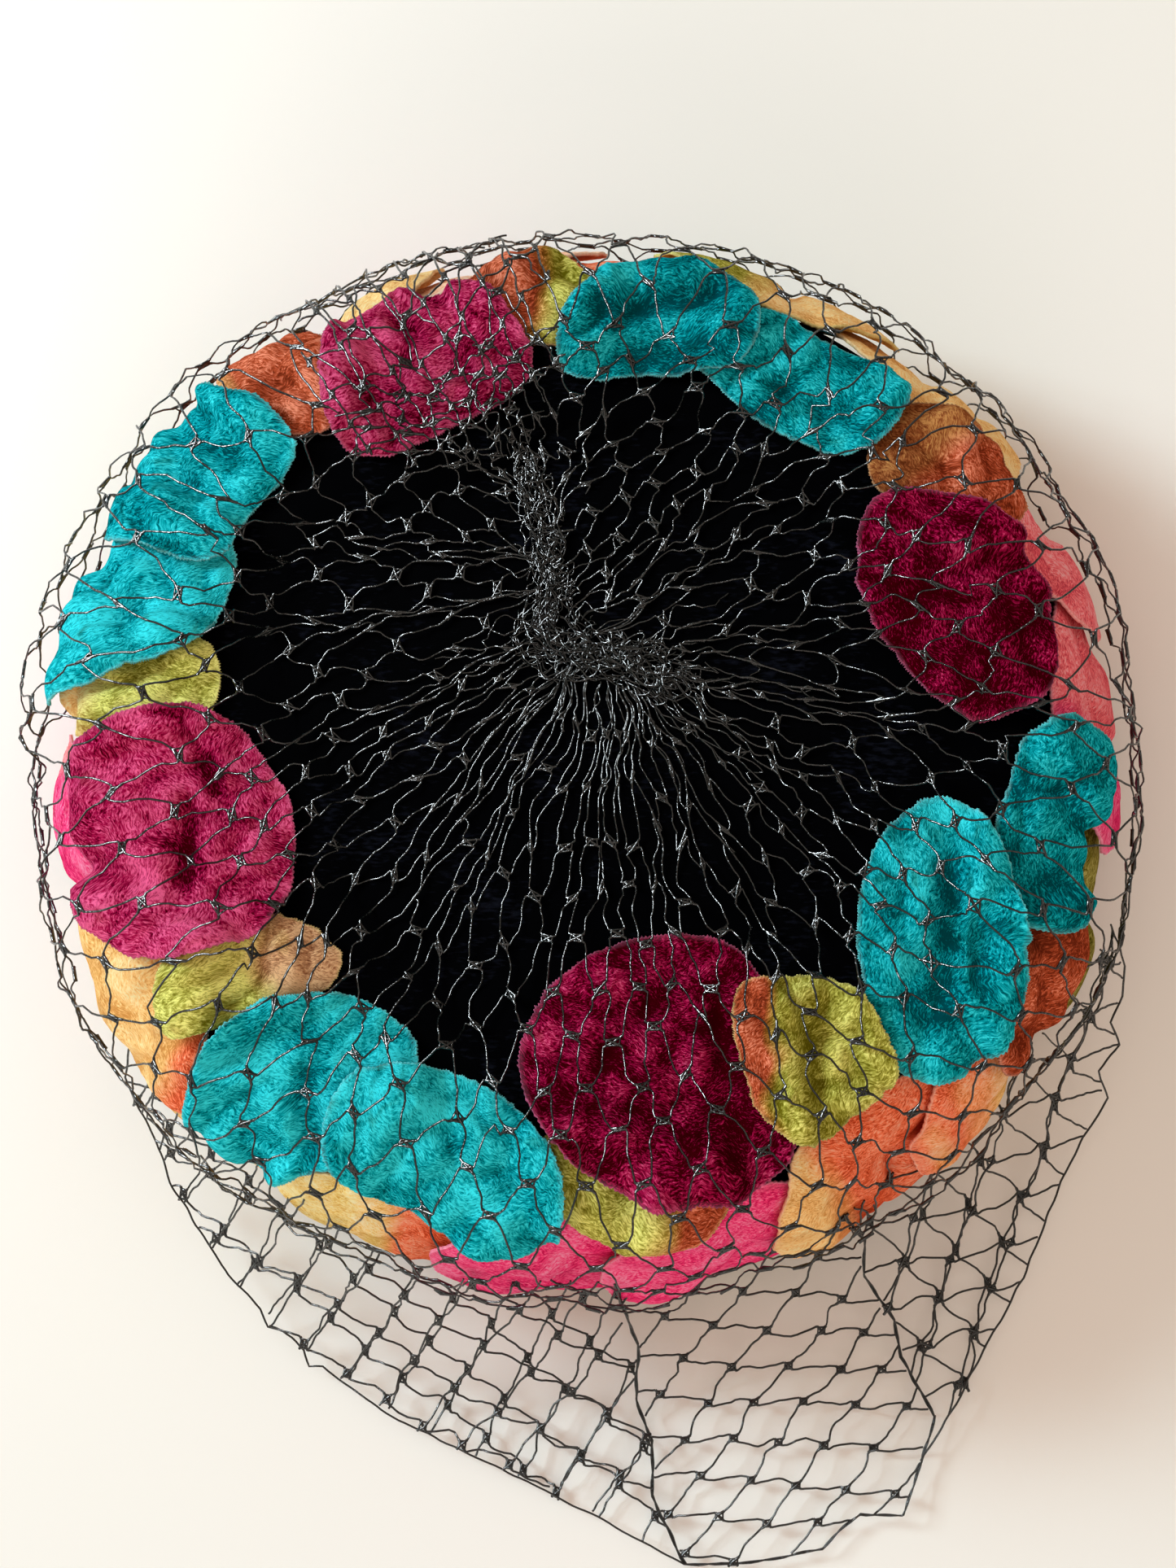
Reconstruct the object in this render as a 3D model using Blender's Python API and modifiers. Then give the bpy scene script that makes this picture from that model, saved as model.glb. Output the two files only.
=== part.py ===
"""Pillbox hat lying crown up: a velvet crown, velvet leaves sewn round its edge and side, and a net
veil gathered on the crown, hung over the whole hat and lying loose in front.

Metres, +Z up. The veil lies in front of the hat, towards -Y. Everything is modelled round the
crown's own axis, and one empty then brings the middle of the whole footprint to the origin.
"""

import math

import bmesh
import bpy
import numpy as np
from mathutils import Vector

MM = 0.001
GAP = 0.3 * MM  # between pieces that touch

# The crown, measured over its velvet
CROWN_HEIGHT = 60 * MM
TOP_FALL = 2.5 * MM  # how far the domed top falls to its soft edge
TOP_RADIUS = 70 * MM  # where the soft edge starts
EDGE_RADIUS = 16 * MM  # of the soft edge
RIM_RADIUS = 88 * MM
RIM_BAND = 6 * MM  # straight stretch above the rim
CROWN_WALL = 2.2 * MM
CROWN_SIDES = 44
EDGE_STEPS = 4

# The leaves, cut from stiffened velvet
LEAF_WALL = 1.0 * MM
BENT_WALL = 1.15 * MM  # the same wall, measured straight out where the leaf slopes
LEAF_COLUMNS = 4
LOWER_ROWS, UPPER_ROWS, TOP_ROWS = 4, 5, 6  # faces along a leaf of each ring
LEAF_END = 0.16  # width of a leaf's blunt ends, as a share of its full width
LEAF_SKEW = 0.88  # under 1 puts the widest part nearer to the stem
LEAF_FULLNESS = 0.62  # under 1 makes the outline fuller than a plain arch
SEAT_GAP = 0.25 * MM  # between a leaf and what it lies on
BEND_GAP = 0.25 * MM  # more where it bends over the crown's edge
BEND = (-0.4, 1.5)  # where it counts as bending, in shares of the edge from where that starts
LEAF_REACH = 6 * MM  # how far a leaf's stiffness bridges the steps below it
LIFT_CURVE = 1.5  # how a lifted leaf curls away from its middle to its lower edge

# The veil's threads are drawn thick and its mesh coarse
THREAD = 1.2 * MM
VEIL_GAP = 0.9 * MM
VEIL_REACH = 10 * MM  # how far the net bridges the steps below it
VEIL_COLUMNS = 14
DRUM = 70 * MM  # the drum that the veil's net is drawn on
DRUM_ROW = 15 * MM
GATHER = (2 * MM, 9 * MM)  # the veil's middle on the crown, from the crown's axis
FRONT_EDGE = 0.35  # the front rows are those where the sine of the azimuth is under minus this
FRONT_TURN = 2.2  # how quickly the front rows give way to the back ones

# Reach of each half row of the veil along the crown, in front and at the back
VEIL_ROWS = (
    # front mm, back mm
    (12, 12),
    (29, 29),
    (46, 48),
    (62, 66),
    (76, 84),
    (88, 102),
    (99, 121),
)

# Each column of the loose stretch in front: where it leaves the hat and where its hem lies
FALL_COLUMNS = (
    # azimuth deg, hem x mm, hem y mm
    (203, -80, -64),
    (216, -66, -90),
    (229, -51, -109),
    (243, -27, -115),
    (257, -8, -127),
    (270, 14, -143),
    (284, 38, -140),
    (300, 59, -129),
    (318, 76, -102),
    (335, 91, -63),
)
FALL_TOP_REACH = 103 * MM  # where the loose stretch leaves the crown's side
FALL_GAP = 0.3 * MM  # between the leaves there and the net
FALL_REACH = 3 * MM
FALL_HALF_ROWS = 5
FALL_CELL = (19 * MM, 10 * MM)  # a column's width and a half row's height, laid flat
FALL_LANDS = 0.55  # share of its depth over which the net comes down to the surface
FALL_DROP = 1.6  # over 1 makes it drop steeply at first and run out flat
FALL_REST = 0.1 * MM  # between the surface and the net that lies on it
FALL_FOLD = 3 * MM  # height of its low folds
FALL_FOLDS = 3

# The bunched seam of the veil, from the back of the crown to the veil's middle
GATHER_ROLL = (
    # x mm, y mm, radius mm
    (-11, 47, 1.0),
    (-12, 38, 1.3),
    (-11, 29, 1.6),
    (-7, 20, 1.9),
    (-1, 12, 2.2),
    (5, 8, 2.4),
    (11, 8, 2.0),
    (15, 9, 1.2),
)
GATHER_MARGIN = 4 * MM  # how far round the roll the net is held up by it

COLOURS = {
    # velvet: base colour, linear red, green, blue
    "magenta": (0.42, 0.010, 0.105),
    "pink": (0.80, 0.040, 0.170),
    "teal": (0.010, 0.330, 0.410),
    "chartreuse": (0.420, 0.400, 0.060),
    "olive": (0.260, 0.230, 0.050),
    "rust": (0.420, 0.130, 0.050),
    "orange": (0.760, 0.280, 0.080),
    "amber": (0.730, 0.430, 0.100),
    "yellow": (0.800, 0.560, 0.150),
    "coral": (0.800, 0.210, 0.130),
    "peach": (0.850, 0.420, 0.250),
    "black": (0.006, 0.006, 0.007),
}

# Azimuth runs anticlockwise from +X. Reach is the distance from the crown's middle along its
# surface to the leaf's middle, and turn is from straight outwards towards anticlockwise. Lift is
# how far the leaf's lower edge stands off. Each leaf lies on the ones before it.
LOWER_LEAVES = (
    # colour, azimuth deg, reach mm, length mm, width mm, turn deg, lift mm
    ("olive", 80, 118, 46, 28, 84, 1),
    ("pink", 111, 118, 46, 28, 97, 1),
    ("chartreuse", 140, 118, 46, 28, 82, 1),
    ("pink", 171, 118, 48, 28, 95, 2),
    ("peach", -159, 118, 46, 28, 86, 1),
    ("amber", -129, 118, 46, 28, 98, 1),
    ("coral", -99, 118, 46, 28, 84, 1),
    ("olive", -69, 118, 48, 28, 96, 2),
    ("amber", -38, 118, 48, 28, 84, 2),
    ("rust", -8, 118, 46, 28, 97, 1),
    ("coral", 21, 118, 46, 28, 84, 1),
    ("yellow", 50, 118, 46, 28, 96, 1),
)
UPPER_LEAVES = (
    ("coral", 85, 103, 46, 30, 97, 2),
    ("peach", 103, 103, 44, 28, 82, 2),
    ("amber", 122, 102, 46, 30, 96, 2),
    ("coral", 140, 104, 46, 30, 84, 2),
    ("yellow", 158, 102, 44, 28, 100, 4),
    ("amber", 177, 103, 46, 30, 82, 2),
    ("pink", -166, 104, 48, 30, 97, 5),
    ("peach", -148, 103, 46, 30, 84, 3),
    ("yellow", -130, 103, 48, 30, 98, 4),
    ("orange", -111, 104, 46, 30, 83, 3),
    ("pink", -92, 103, 46, 32, 97, 4),
    ("pink", -73, 104, 48, 32, 82, 4),
    ("coral", -54, 103, 46, 32, 96, 4),
    ("amber", -36, 103, 48, 30, 83, 4),
    ("olive", -15, 103, 46, 28, 97, 5),
    ("pink", 6, 103, 50, 30, 85, 7),
    ("orange", 29, 102, 48, 30, 97, 6),
    ("amber", 49, 102, 46, 28, 82, 5),
    ("olive", 68, 103, 44, 28, 97, 2),
)
TOP_LEAVES = (
    ("orange", -150, 94, 37, 25, 84, 0),
    ("chartreuse", 173, 77, 29, 20, 12, 0),
    ("rust", 133, 82, 26, 18, 59, 0),
    ("rust", 98, 78, 26, 18, 99, 0),
    ("orange", 38, 77, 32, 22, -80, 1),
    ("rust", -28, 90, 34, 24, 88, 0),
    ("chartreuse", -86, 78, 36, 24, 70, 0),
    ("teal", 168, 78, 34, 23, 52, 0),
    ("teal", 146, 80, 32, 21, 57, 0),
    ("chartreuse", -143, 70, 29, 21, -26, 0),
    ("teal", -108, 76, 46, 24, 85, 1),
    ("teal", -129, 76, 40, 28, -50, 1),
    ("teal", 60, 73, 41, 23, -84, 1),
    ("teal", 81, 72, 37, 26, -70, 0),
    ("magenta", 115, 69, 41, 25, -86, 0),
    ("teal", -12, 82, 41, 22, -90, 1),
    ("magenta", -166, 71, 45, 34, -78, 0),
    ("magenta", 20, 68, 43, 33, -85, 0),
    ("teal", -31, 70, 49, 27, -67, 0),
    ("magenta", -77, 59, 49, 39, 78, 0),
    ("chartreuse", -56, 69, 33, 25, -64, 0),
)


def clear_scene():
    for thing in list(bpy.data.objects):
        bpy.data.objects.remove(thing)


def material(name, colour, roughness=0.9):
    finish = bpy.data.materials.new(name)
    finish.use_nodes = True
    shader = finish.node_tree.nodes["Principled BSDF"]
    shader.inputs["Base Color"].default_value = (*colour, 1)
    shader.inputs["Roughness"].default_value = roughness
    shader.inputs["Metallic"].default_value = 0
    finish.diffuse_color = (*colour, 1)
    return finish


def crown_point(reach):
    """The crown's outer profile: (radius, height) and its normal, at a distance along it."""
    if reach <= TOP_RADIUS:
        fall = TOP_FALL * (reach / TOP_RADIUS) ** 2
        tilt = math.atan2(2 * TOP_FALL * reach, TOP_RADIUS**2)
        return reach, CROWN_HEIGHT - fall, math.sin(tilt), math.cos(tilt)
    edge_top = CROWN_HEIGHT - TOP_FALL
    edge_length = EDGE_RADIUS * math.pi / 2
    bend = (reach - TOP_RADIUS) / EDGE_RADIUS
    if reach <= TOP_RADIUS + edge_length:
        radius = TOP_RADIUS + EDGE_RADIUS * math.sin(bend)
        return radius, edge_top - EDGE_RADIUS * (1 - math.cos(bend)), math.sin(bend), math.cos(bend)
    down = reach - TOP_RADIUS - edge_length
    side_top = TOP_RADIUS + EDGE_RADIUS
    flare = min(1, down / (edge_top - EDGE_RADIUS - RIM_BAND))
    return side_top + flare * (RIM_RADIUS - side_top), edge_top - EDGE_RADIUS - down, 1, 0


def over_crown(azimuth, reach, height):
    """The point at a height over the crown's surface."""
    radius, z, out, up = crown_point(reach)
    radius += out * height
    return Vector((radius * math.cos(azimuth), radius * math.sin(azimuth), z + up * height))


class Covering:
    """How high the crown is covered so far, on a grid of azimuths and reaches."""

    AZIMUTHS = 720
    STEP = 1 * MM

    def __init__(self):
        edge_length = EDGE_RADIUS * math.pi / 2
        self.end = TOP_RADIUS + edge_length + CROWN_HEIGHT - TOP_FALL - EDGE_RADIUS
        self.reaches = np.arange(0, self.end, self.STEP)
        self.radii = np.array([max(crown_point(reach)[0], self.STEP) for reach in self.reaches])
        self.azimuths = np.arange(self.AZIMUTHS) * 2 * math.pi / self.AZIMUTHS
        self.height = np.zeros((len(self.reaches), self.AZIMUTHS))

    def highest(self, azimuth, reach, around):
        """The highest cover within a distance of a point."""
        top = 0.0
        first = max(0, int((reach - around) / self.STEP))
        last = min(len(self.reaches) - 1, int((reach + around) / self.STEP))
        middle = azimuth / (2 * math.pi) * self.AZIMUTHS
        for row in range(first, last + 1):
            half = math.sqrt(max(0, around**2 - (self.reaches[row] - reach) ** 2))
            wide = min(0.5, half / self.radii[row] / (2 * math.pi)) * self.AZIMUTHS
            columns = np.arange(math.floor(middle - wide), math.ceil(middle + wide) + 1)
            top = max(top, float(self.height[row, columns % self.AZIMUTHS].max()))
        return top

    def lay(self, leaf, heights):
        """Raises the cover by a leaf whose upper face has these heights, row by row."""
        off = (self.azimuths[None, :] - leaf.azimuth + math.pi) % (2 * math.pi) - math.pi
        across_hat = off * self.radii[:, None]
        outwards = (self.reaches[:, None] - leaf.reach) + 0 * off
        across, along = leaf.to_leaf(across_hat, outwards)
        share = along / leaf.length + 0.5
        side = across / np.maximum(leaf.half_width(np.clip(share, 0, 1)), 1e-6)
        inside = (share >= 0) & (share <= 1) & (np.abs(side) <= 1)
        row = np.clip(share * leaf.rows, 0, leaf.rows - 1e-6)
        column = np.clip((side + 1) / 2 * LEAF_COLUMNS, 0, LEAF_COLUMNS - 1e-6)
        i, j = row.astype(int), column.astype(int)
        down, right = row - i, column - j
        near = heights[i, j] * (1 - right) + heights[i, j + 1] * right
        far = heights[i + 1, j] * (1 - right) + heights[i + 1, j + 1] * right
        top = near * (1 - down) + far * down
        self.height = np.where(inside, np.maximum(self.height, top), self.height)

    def pile(self, x, y, radius, height):
        """Raises the cover on the crown's top round one point."""
        px = self.radii[:, None] * np.cos(self.azimuths)
        py = self.radii[:, None] * np.sin(self.azimuths)
        near = (px - x) ** 2 + (py - y) ** 2 <= radius**2
        near &= (self.reaches < TOP_RADIUS)[:, None]
        self.height = np.where(near, np.maximum(self.height, height), self.height)


class Leaf:
    """One velvet leaf, by its place on the crown and its size."""

    def __init__(self, rows, azimuth, reach, length, width, turn, lift):
        self.rows = rows
        self.azimuth = math.radians(azimuth)
        self.reach = reach * MM
        self.length = length * MM
        self.width = width * MM
        self.turn = math.radians(turn)
        self.lift = lift * MM

    def half_width(self, share):
        """Half the width at a share of the length: round at the stem, drawn in to the tip."""
        belly = np.sin(math.pi * np.power(share, LEAF_SKEW))
        belly = np.power(np.clip(belly, 0, 1), LEAF_FULLNESS)
        return self.width / 2 * (LEAF_END + (1 - LEAF_END) * belly)

    def to_leaf(self, across_hat, outwards):
        across = across_hat * math.cos(self.turn) - outwards * math.sin(self.turn)
        along = across_hat * math.sin(self.turn) + outwards * math.cos(self.turn)
        return across, along

    def place(self, side, share):
        """(azimuth, reach) of the point at a side from -1 to 1 and a share of the length."""
        across = side * float(self.half_width(share))
        along = (share - 0.5) * self.length
        across_hat = across * math.cos(self.turn) + along * math.sin(self.turn)
        outwards = along * math.cos(self.turn) - across * math.sin(self.turn)
        reach = self.reach + outwards
        return self.azimuth + across_hat / crown_point(reach)[0], reach


def seat_heights(leaf, covering):
    """Heights of the leaf's lower face, row by row, bridging the steps of what lies below."""
    seat = np.zeros((leaf.rows + 1, LEAF_COLUMNS + 1))
    for i in range(leaf.rows + 1):
        for j in range(LEAF_COLUMNS + 1):
            azimuth, reach = leaf.place(2 * j / LEAF_COLUMNS - 1, i / leaf.rows)
            bend = (reach - TOP_RADIUS) / (EDGE_RADIUS * math.pi / 2)
            gap = SEAT_GAP + (BEND_GAP if BEND[0] < bend < BEND[1] else 0)
            below_middle = max(0, (reach - leaf.reach) / (leaf.length / 2))
            seat[i, j] = covering.highest(azimuth, reach, LEAF_REACH) + gap
            seat[i, j] += leaf.lift * below_middle**LIFT_CURVE
    padded = np.pad(seat, 1, mode="edge")
    around = (padded[:-2, 1:-1] + padded[2:, 1:-1] + padded[1:-1, :-2] + padded[1:-1, 2:]) / 4
    return np.maximum(seat, around)


def new_object(name, mesh, collection, finish):
    thing = bpy.data.objects.new(name, mesh)
    collection.objects.link(thing)
    mesh.materials.append(finish)
    return thing


def make_crown(collection):
    """A turned shell, open below, with a domed top, a soft edge and a flared side."""
    edge_length = EDGE_RADIUS * math.pi / 2
    side_length = CROWN_HEIGHT - TOP_FALL - EDGE_RADIUS
    reaches = [0, TOP_RADIUS / 2]
    reaches += [TOP_RADIUS + edge_length * step / EDGE_STEPS for step in range(EDGE_STEPS + 1)]
    reaches += [TOP_RADIUS + edge_length + side_length - RIM_BAND]
    reaches += [TOP_RADIUS + edge_length + side_length]
    shape = bmesh.new()
    profile = [shape.verts.new(over_crown(0, reach, 0)) for reach in reaches]
    for upper, lower in zip(profile, profile[1:]):
        shape.edges.new((upper, lower))
    mesh = bpy.data.meshes.new("crown")
    shape.to_mesh(mesh)
    shape.free()
    crown = new_object("crown", mesh, collection, material("black_velvet", COLOURS["black"]))
    turn = crown.modifiers.new("turn", "SCREW")
    turn.steps = turn.render_steps = CROWN_SIDES
    turn.use_merge_vertices = True
    turn.merge_threshold = 0.05 * MM
    wall = crown.modifiers.new("wall", "SOLIDIFY")
    wall.thickness = CROWN_WALL
    wall.offset = -1
    return crown


def make_leaf(name, leaf, covering, collection, finish):
    """A flat grid cut to the leaf's outline, laid on what is already sewn to the crown."""
    seat = seat_heights(leaf, covering)
    shape = bmesh.new()
    bmesh.ops.create_grid(shape, x_segments=LEAF_COLUMNS, y_segments=leaf.rows, size=1)
    for corner in shape.verts:
        side, share = corner.co.x, (corner.co.y + 1) / 2
        row = round(share * leaf.rows)
        column = round((side + 1) / 2 * LEAF_COLUMNS)
        azimuth, reach = leaf.place(side, share)
        corner.co = over_crown(azimuth, reach, seat[row, column])
    mesh = bpy.data.meshes.new(name)
    shape.to_mesh(mesh)
    shape.free()
    thing = new_object(name, mesh, collection, finish)
    wall = thing.modifiers.new("wall", "SOLIDIFY")
    wall.thickness = LEAF_WALL
    wall.offset = -1
    covering.lay(leaf, seat + BENT_WALL)
    return thing


def make_leaves(covering, collection):
    finishes = {}
    leaves = []
    rings = (
        ("lower", LOWER_ROWS, LOWER_LEAVES),
        ("upper", UPPER_ROWS, UPPER_LEAVES),
        ("top", TOP_ROWS, TOP_LEAVES),
    )
    for ring, rows, table in rings:
        for number, (colour, *sizes) in enumerate(table, start=1):
            if colour not in finishes:
                finishes[colour] = material(f"{colour}_velvet", COLOURS[colour])
            name = f"{ring}_leaf_{number:02d}_{colour}"
            leaf = Leaf(rows, *sizes)
            leaves.append(make_leaf(name, leaf, covering, collection, finishes[colour]))
    return leaves


def make_gather(covering, collection, finish):
    """The bunched seam: one tapered roll that lies on the crown's top."""
    curve = bpy.data.curves.new("veil_gather", "CURVE")
    curve.dimensions = "3D"
    curve.bevel_depth = MM  # times each point's radius
    curve.bevel_resolution = 2
    curve.use_fill_caps = True
    spline = curve.splines.new("POLY")
    spline.points.add(len(GATHER_ROLL) - 1)
    for point, (x, y, radius) in zip(spline.points, GATHER_ROLL):
        reach = math.hypot(x, y) * MM
        rest = crown_point(reach)[1] + GAP + radius * MM
        point.co = (x * MM, y * MM, rest, 1)
        point.radius = radius
        covering.pile(x * MM, y * MM, radius * MM + GATHER_MARGIN, 2 * radius * MM + GAP)
    curve.materials.append(finish)
    roll = bpy.data.objects.new("veil_gather", curve)
    collection.objects.link(roll)
    return roll


def thread_net(shape):
    """Turns the edges of a flat net into threads, each bent once at its middle."""
    bmesh.ops.subdivide_edges(shape, edges=shape.edges, cuts=1)
    bmesh.ops.wireframe(
        shape, faces=shape.faces, thickness=THREAD, use_replace=True, use_boundary=True
    )


def net_object(name, shape, collection, finish):
    bmesh.ops.recalc_face_normals(shape, faces=shape.faces)
    if shape.calc_volume(signed=True) < 0:
        bmesh.ops.reverse_faces(shape, faces=shape.faces)
    mesh = bpy.data.meshes.new(name)
    shape.to_mesh(mesh)
    shape.free()
    return new_object(name, mesh, collection, finish)


def veil_height(azimuth, reach, covering, around=VEIL_REACH, gap=VEIL_GAP):
    return covering.highest(azimuth, reach, around) + gap + THREAD / 2


def veil_point(azimuth, row, off, covering):
    """A point of the veil: its columns run from the gather to the hem, in half rows."""
    row = min(max(row, 0), len(VEIL_ROWS) - 1)
    low = min(int(row), len(VEIL_ROWS) - 2)
    front, back = (
        (VEIL_ROWS[low][k] * (1 - row + low) + VEIL_ROWS[low + 1][k] * (row - low)) * MM
        for k in (0, 1)
    )
    frontness = 0.5 - 0.5 * math.tanh(FRONT_TURN * (math.sin(azimuth) + FRONT_EDGE))
    reach = back + (front - back) * frontness
    if reach < TOP_RADIUS:
        inner = 1 - reach / TOP_RADIUS
        x = GATHER[0] * inner + reach * math.cos(azimuth)
        y = GATHER[1] * inner + reach * math.sin(azimuth)
        azimuth, reach = math.atan2(y, x), math.hypot(x, y)
    return over_crown(azimuth, reach, veil_height(azimuth, reach, covering) + off)


def make_veil_over_crown(covering, collection, finish):
    """Diamonds of net round the whole hat, drawn on a drum and then laid over the leaves."""
    shape = bmesh.new()
    half_columns = 2 * VEIL_COLUMNS
    knots = {}
    for row in range(len(VEIL_ROWS)):
        for column in range(row % 2, half_columns, 2):
            turn = 2 * math.pi * column / half_columns
            drum = (DRUM * math.cos(turn), DRUM * math.sin(turn), row * DRUM_ROW)
            knots[row, column] = shape.verts.new(drum)
    for row in range(1, len(VEIL_ROWS) - 1):
        for column in range((row + 1) % 2, half_columns, 2):
            right = (column + 1) % half_columns
            left = (column - 1) % half_columns
            corners = ((row - 1, column), (row, right), (row + 1, column), (row, left))
            shape.faces.new([knots[corner] for corner in corners])
    thread_net(shape)
    for point in shape.verts:
        azimuth = math.atan2(point.co.y, point.co.x)
        off = point.co.xy.length - DRUM
        point.co = veil_point(azimuth, point.co.z / DRUM_ROW, off, covering)
    return net_object("veil_over_crown", shape, collection, finish)


def fall_point(column, down, off, covering):
    """A point of the loose stretch, from the hat's side down and out to its hem."""
    column = min(max(column, 0), len(FALL_COLUMNS) - 1)
    down = min(max(down, 0), 1)
    low = min(int(column), len(FALL_COLUMNS) - 2)
    part = column - low
    azimuth, hem_x, hem_y = (
        FALL_COLUMNS[low][k] * (1 - part) + FALL_COLUMNS[low + 1][k] * part for k in range(3)
    )
    azimuth = math.radians(azimuth)
    height = veil_height(azimuth, FALL_TOP_REACH, covering, FALL_REACH, FALL_GAP)
    start = over_crown(azimuth, FALL_TOP_REACH, height)
    x = start.x + (hem_x * MM - start.x) * down
    y = start.y + (hem_y * MM - start.y) * down
    floor = THREAD / 2 + FALL_REST
    landed = min(1, down / FALL_LANDS)
    z = floor + (start.z - floor) * (1 - landed) ** FALL_DROP
    fold = 0.5 - 0.5 * math.cos(2 * math.pi * FALL_FOLDS * column / (len(FALL_COLUMNS) - 1))
    steep = 1 - landed
    out = Vector((math.cos(azimuth) * steep, math.sin(azimuth) * steep, 1)).normalized()
    return Vector((x, y, z + FALL_FOLD * fold * landed * (1 - down))) + out * off


def make_veil_front_fall(covering, collection, finish):
    """Diamonds of net that come down from the hat's front and lie on the surface."""
    shape = bmesh.new()
    half_columns = 2 * len(FALL_COLUMNS) - 2
    knots = {}
    for row in range(FALL_HALF_ROWS + 1):
        for column in range(row % 2, half_columns + 1, 2):
            flat = (column / 2 * FALL_CELL[0], row * FALL_CELL[1], 0)
            knots[row, column] = shape.verts.new(flat)
    for row in range(1, FALL_HALF_ROWS):
        for column in range((row + 1) % 2, half_columns + 1, 2):
            corners = ((row - 1, column), (row, column - 1), (row + 1, column), (row, column + 1))
            if all(corner in knots for corner in corners):
                shape.faces.new([knots[corner] for corner in corners])
    loose = [point for point in shape.verts if not point.link_faces]
    bmesh.ops.delete(shape, geom=loose, context="VERTS")
    thread_net(shape)
    for point in shape.verts:
        column = point.co.x / FALL_CELL[0]
        down = point.co.y / FALL_CELL[1] / FALL_HALF_ROWS
        point.co = fall_point(column, down, point.co.z, covering)
    return net_object("veil_front_fall", shape, collection, finish)


def stand_on_origin(pieces, collection):
    """Puts the crown's axis where the middle of the whole footprint is at the origin."""
    axis = bpy.data.objects.new("crown_axis", None)
    collection.objects.link(axis)
    bpy.context.view_layer.update()
    graph = bpy.context.evaluated_depsgraph_get()
    low = Vector((math.inf, math.inf))
    high = Vector((-math.inf, -math.inf))
    for piece in pieces:
        evaluated = piece.evaluated_get(graph)
        mesh = evaluated.to_mesh()
        for point in mesh.vertices:
            low = Vector(map(min, low, point.co.xy))
            high = Vector(map(max, high, point.co.xy))
        evaluated.to_mesh_clear()
    axis.location = (-(low.x + high.x) / 2, -(low.y + high.y) / 2, 0)
    for piece in pieces:
        piece.parent = axis
    return axis


def main():
    clear_scene()
    hat = bpy.data.collections.new("pillbox_hat")
    bpy.context.scene.collection.children.link(hat)
    thread = material("veil_thread", COLOURS["black"], roughness=0.5)
    covering = Covering()
    pieces = [make_crown(hat)]
    pieces += make_leaves(covering, hat)
    pieces.append(make_gather(covering, hat, thread))
    pieces.append(make_veil_over_crown(covering, hat, thread))
    pieces.append(make_veil_front_fall(covering, hat, thread))
    stand_on_origin(pieces, hat)


main()
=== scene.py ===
import math

import bmesh
import bpy
import numpy as np
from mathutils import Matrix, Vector, noise


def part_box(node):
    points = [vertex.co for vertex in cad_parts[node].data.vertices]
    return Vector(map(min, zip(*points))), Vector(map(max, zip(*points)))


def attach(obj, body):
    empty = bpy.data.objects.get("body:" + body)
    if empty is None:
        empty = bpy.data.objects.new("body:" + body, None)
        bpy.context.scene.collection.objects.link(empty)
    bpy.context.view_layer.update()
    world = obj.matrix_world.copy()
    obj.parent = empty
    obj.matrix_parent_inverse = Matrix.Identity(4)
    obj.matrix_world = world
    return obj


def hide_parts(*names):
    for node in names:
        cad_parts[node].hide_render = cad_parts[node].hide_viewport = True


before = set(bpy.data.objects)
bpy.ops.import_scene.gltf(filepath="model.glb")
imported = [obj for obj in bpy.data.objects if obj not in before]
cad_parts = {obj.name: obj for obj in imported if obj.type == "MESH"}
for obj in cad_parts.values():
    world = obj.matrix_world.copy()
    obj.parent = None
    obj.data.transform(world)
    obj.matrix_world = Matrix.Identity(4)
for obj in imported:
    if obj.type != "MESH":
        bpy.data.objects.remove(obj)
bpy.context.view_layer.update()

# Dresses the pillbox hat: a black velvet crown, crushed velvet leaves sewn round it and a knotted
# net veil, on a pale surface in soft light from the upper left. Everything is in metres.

MM = 0.001

# The crown, measured over its velvet
CROWN_HEIGHT = 60 * MM
TOP_FALL = 2.5 * MM  # how far the domed top falls to its soft edge
TOP_RADIUS = 70 * MM  # where the soft edge starts
EDGE_RADIUS = 16 * MM
EDGE_LENGTH = EDGE_RADIUS * math.pi / 2
RIM_RADIUS = 88 * MM
RIM_BAND = 6 * MM  # straight stretch above the rim
CROWN_WALL = 2.2 * MM
CROWN_SIDES = 144
CROWN_STEPS = (14, 10, 8)  # over the top, the soft edge and the side
CROWN_REACH = TOP_RADIUS + EDGE_LENGTH + CROWN_HEIGHT - TOP_FALL - EDGE_RADIUS
CROWN_LOW, CROWN_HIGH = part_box("crown")
AXIS = Vector(((CROWN_LOW[0] + CROWN_HIGH[0]) / 2, (CROWN_LOW[1] + CROWN_HIGH[1]) / 2, 0))

# The leaves, cut from velvet
LEAF_WALL = 0.6 * MM
LEAF_END = 0.16  # width of a side leaf's blunt ends, as a share of its full width
LEAF_SKEW = 0.88  # under 1 puts the widest part nearer to the stem
LEAF_FULLNESS = 0.62  # under 1 makes the outline fuller than a plain arch
LEAF_TUCK = 1.3  # how much wider a side leaf is where it goes under the ring above
WIDE_TUCKS = {"upper 12": 1.4, "upper 13": 1.7, "upper 14": 1.5, "upper 16": 1.5, "upper 17": 1.55}
LEAF_GAP = 0.3 * MM  # from what it lies on
LEAF_REACH = 4 * MM  # how far a leaf's stiffness bridges the steps below it
CRUMPLED_AREA = 0.93  # flat area of the cloth, as a share of its crumpled area
LEAF_PUFF = 1.0 * MM  # how far a leaf stands up between its sewn edges
LIFT_CURVE = 1.5  # over 1 keeps a lifted leaf's middle down
CRUMPLES = ((15, 1.0), (2.4, 0.1))  # wavelength mm, height mm
PUFFS = (8.5, 1.7, 2.2)  # the same for puffs of cloth, and how sharp the folds between are
PUFF_EDGE = 0.5  # share of the puff that is gone at a leaf's sewn edge
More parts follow.
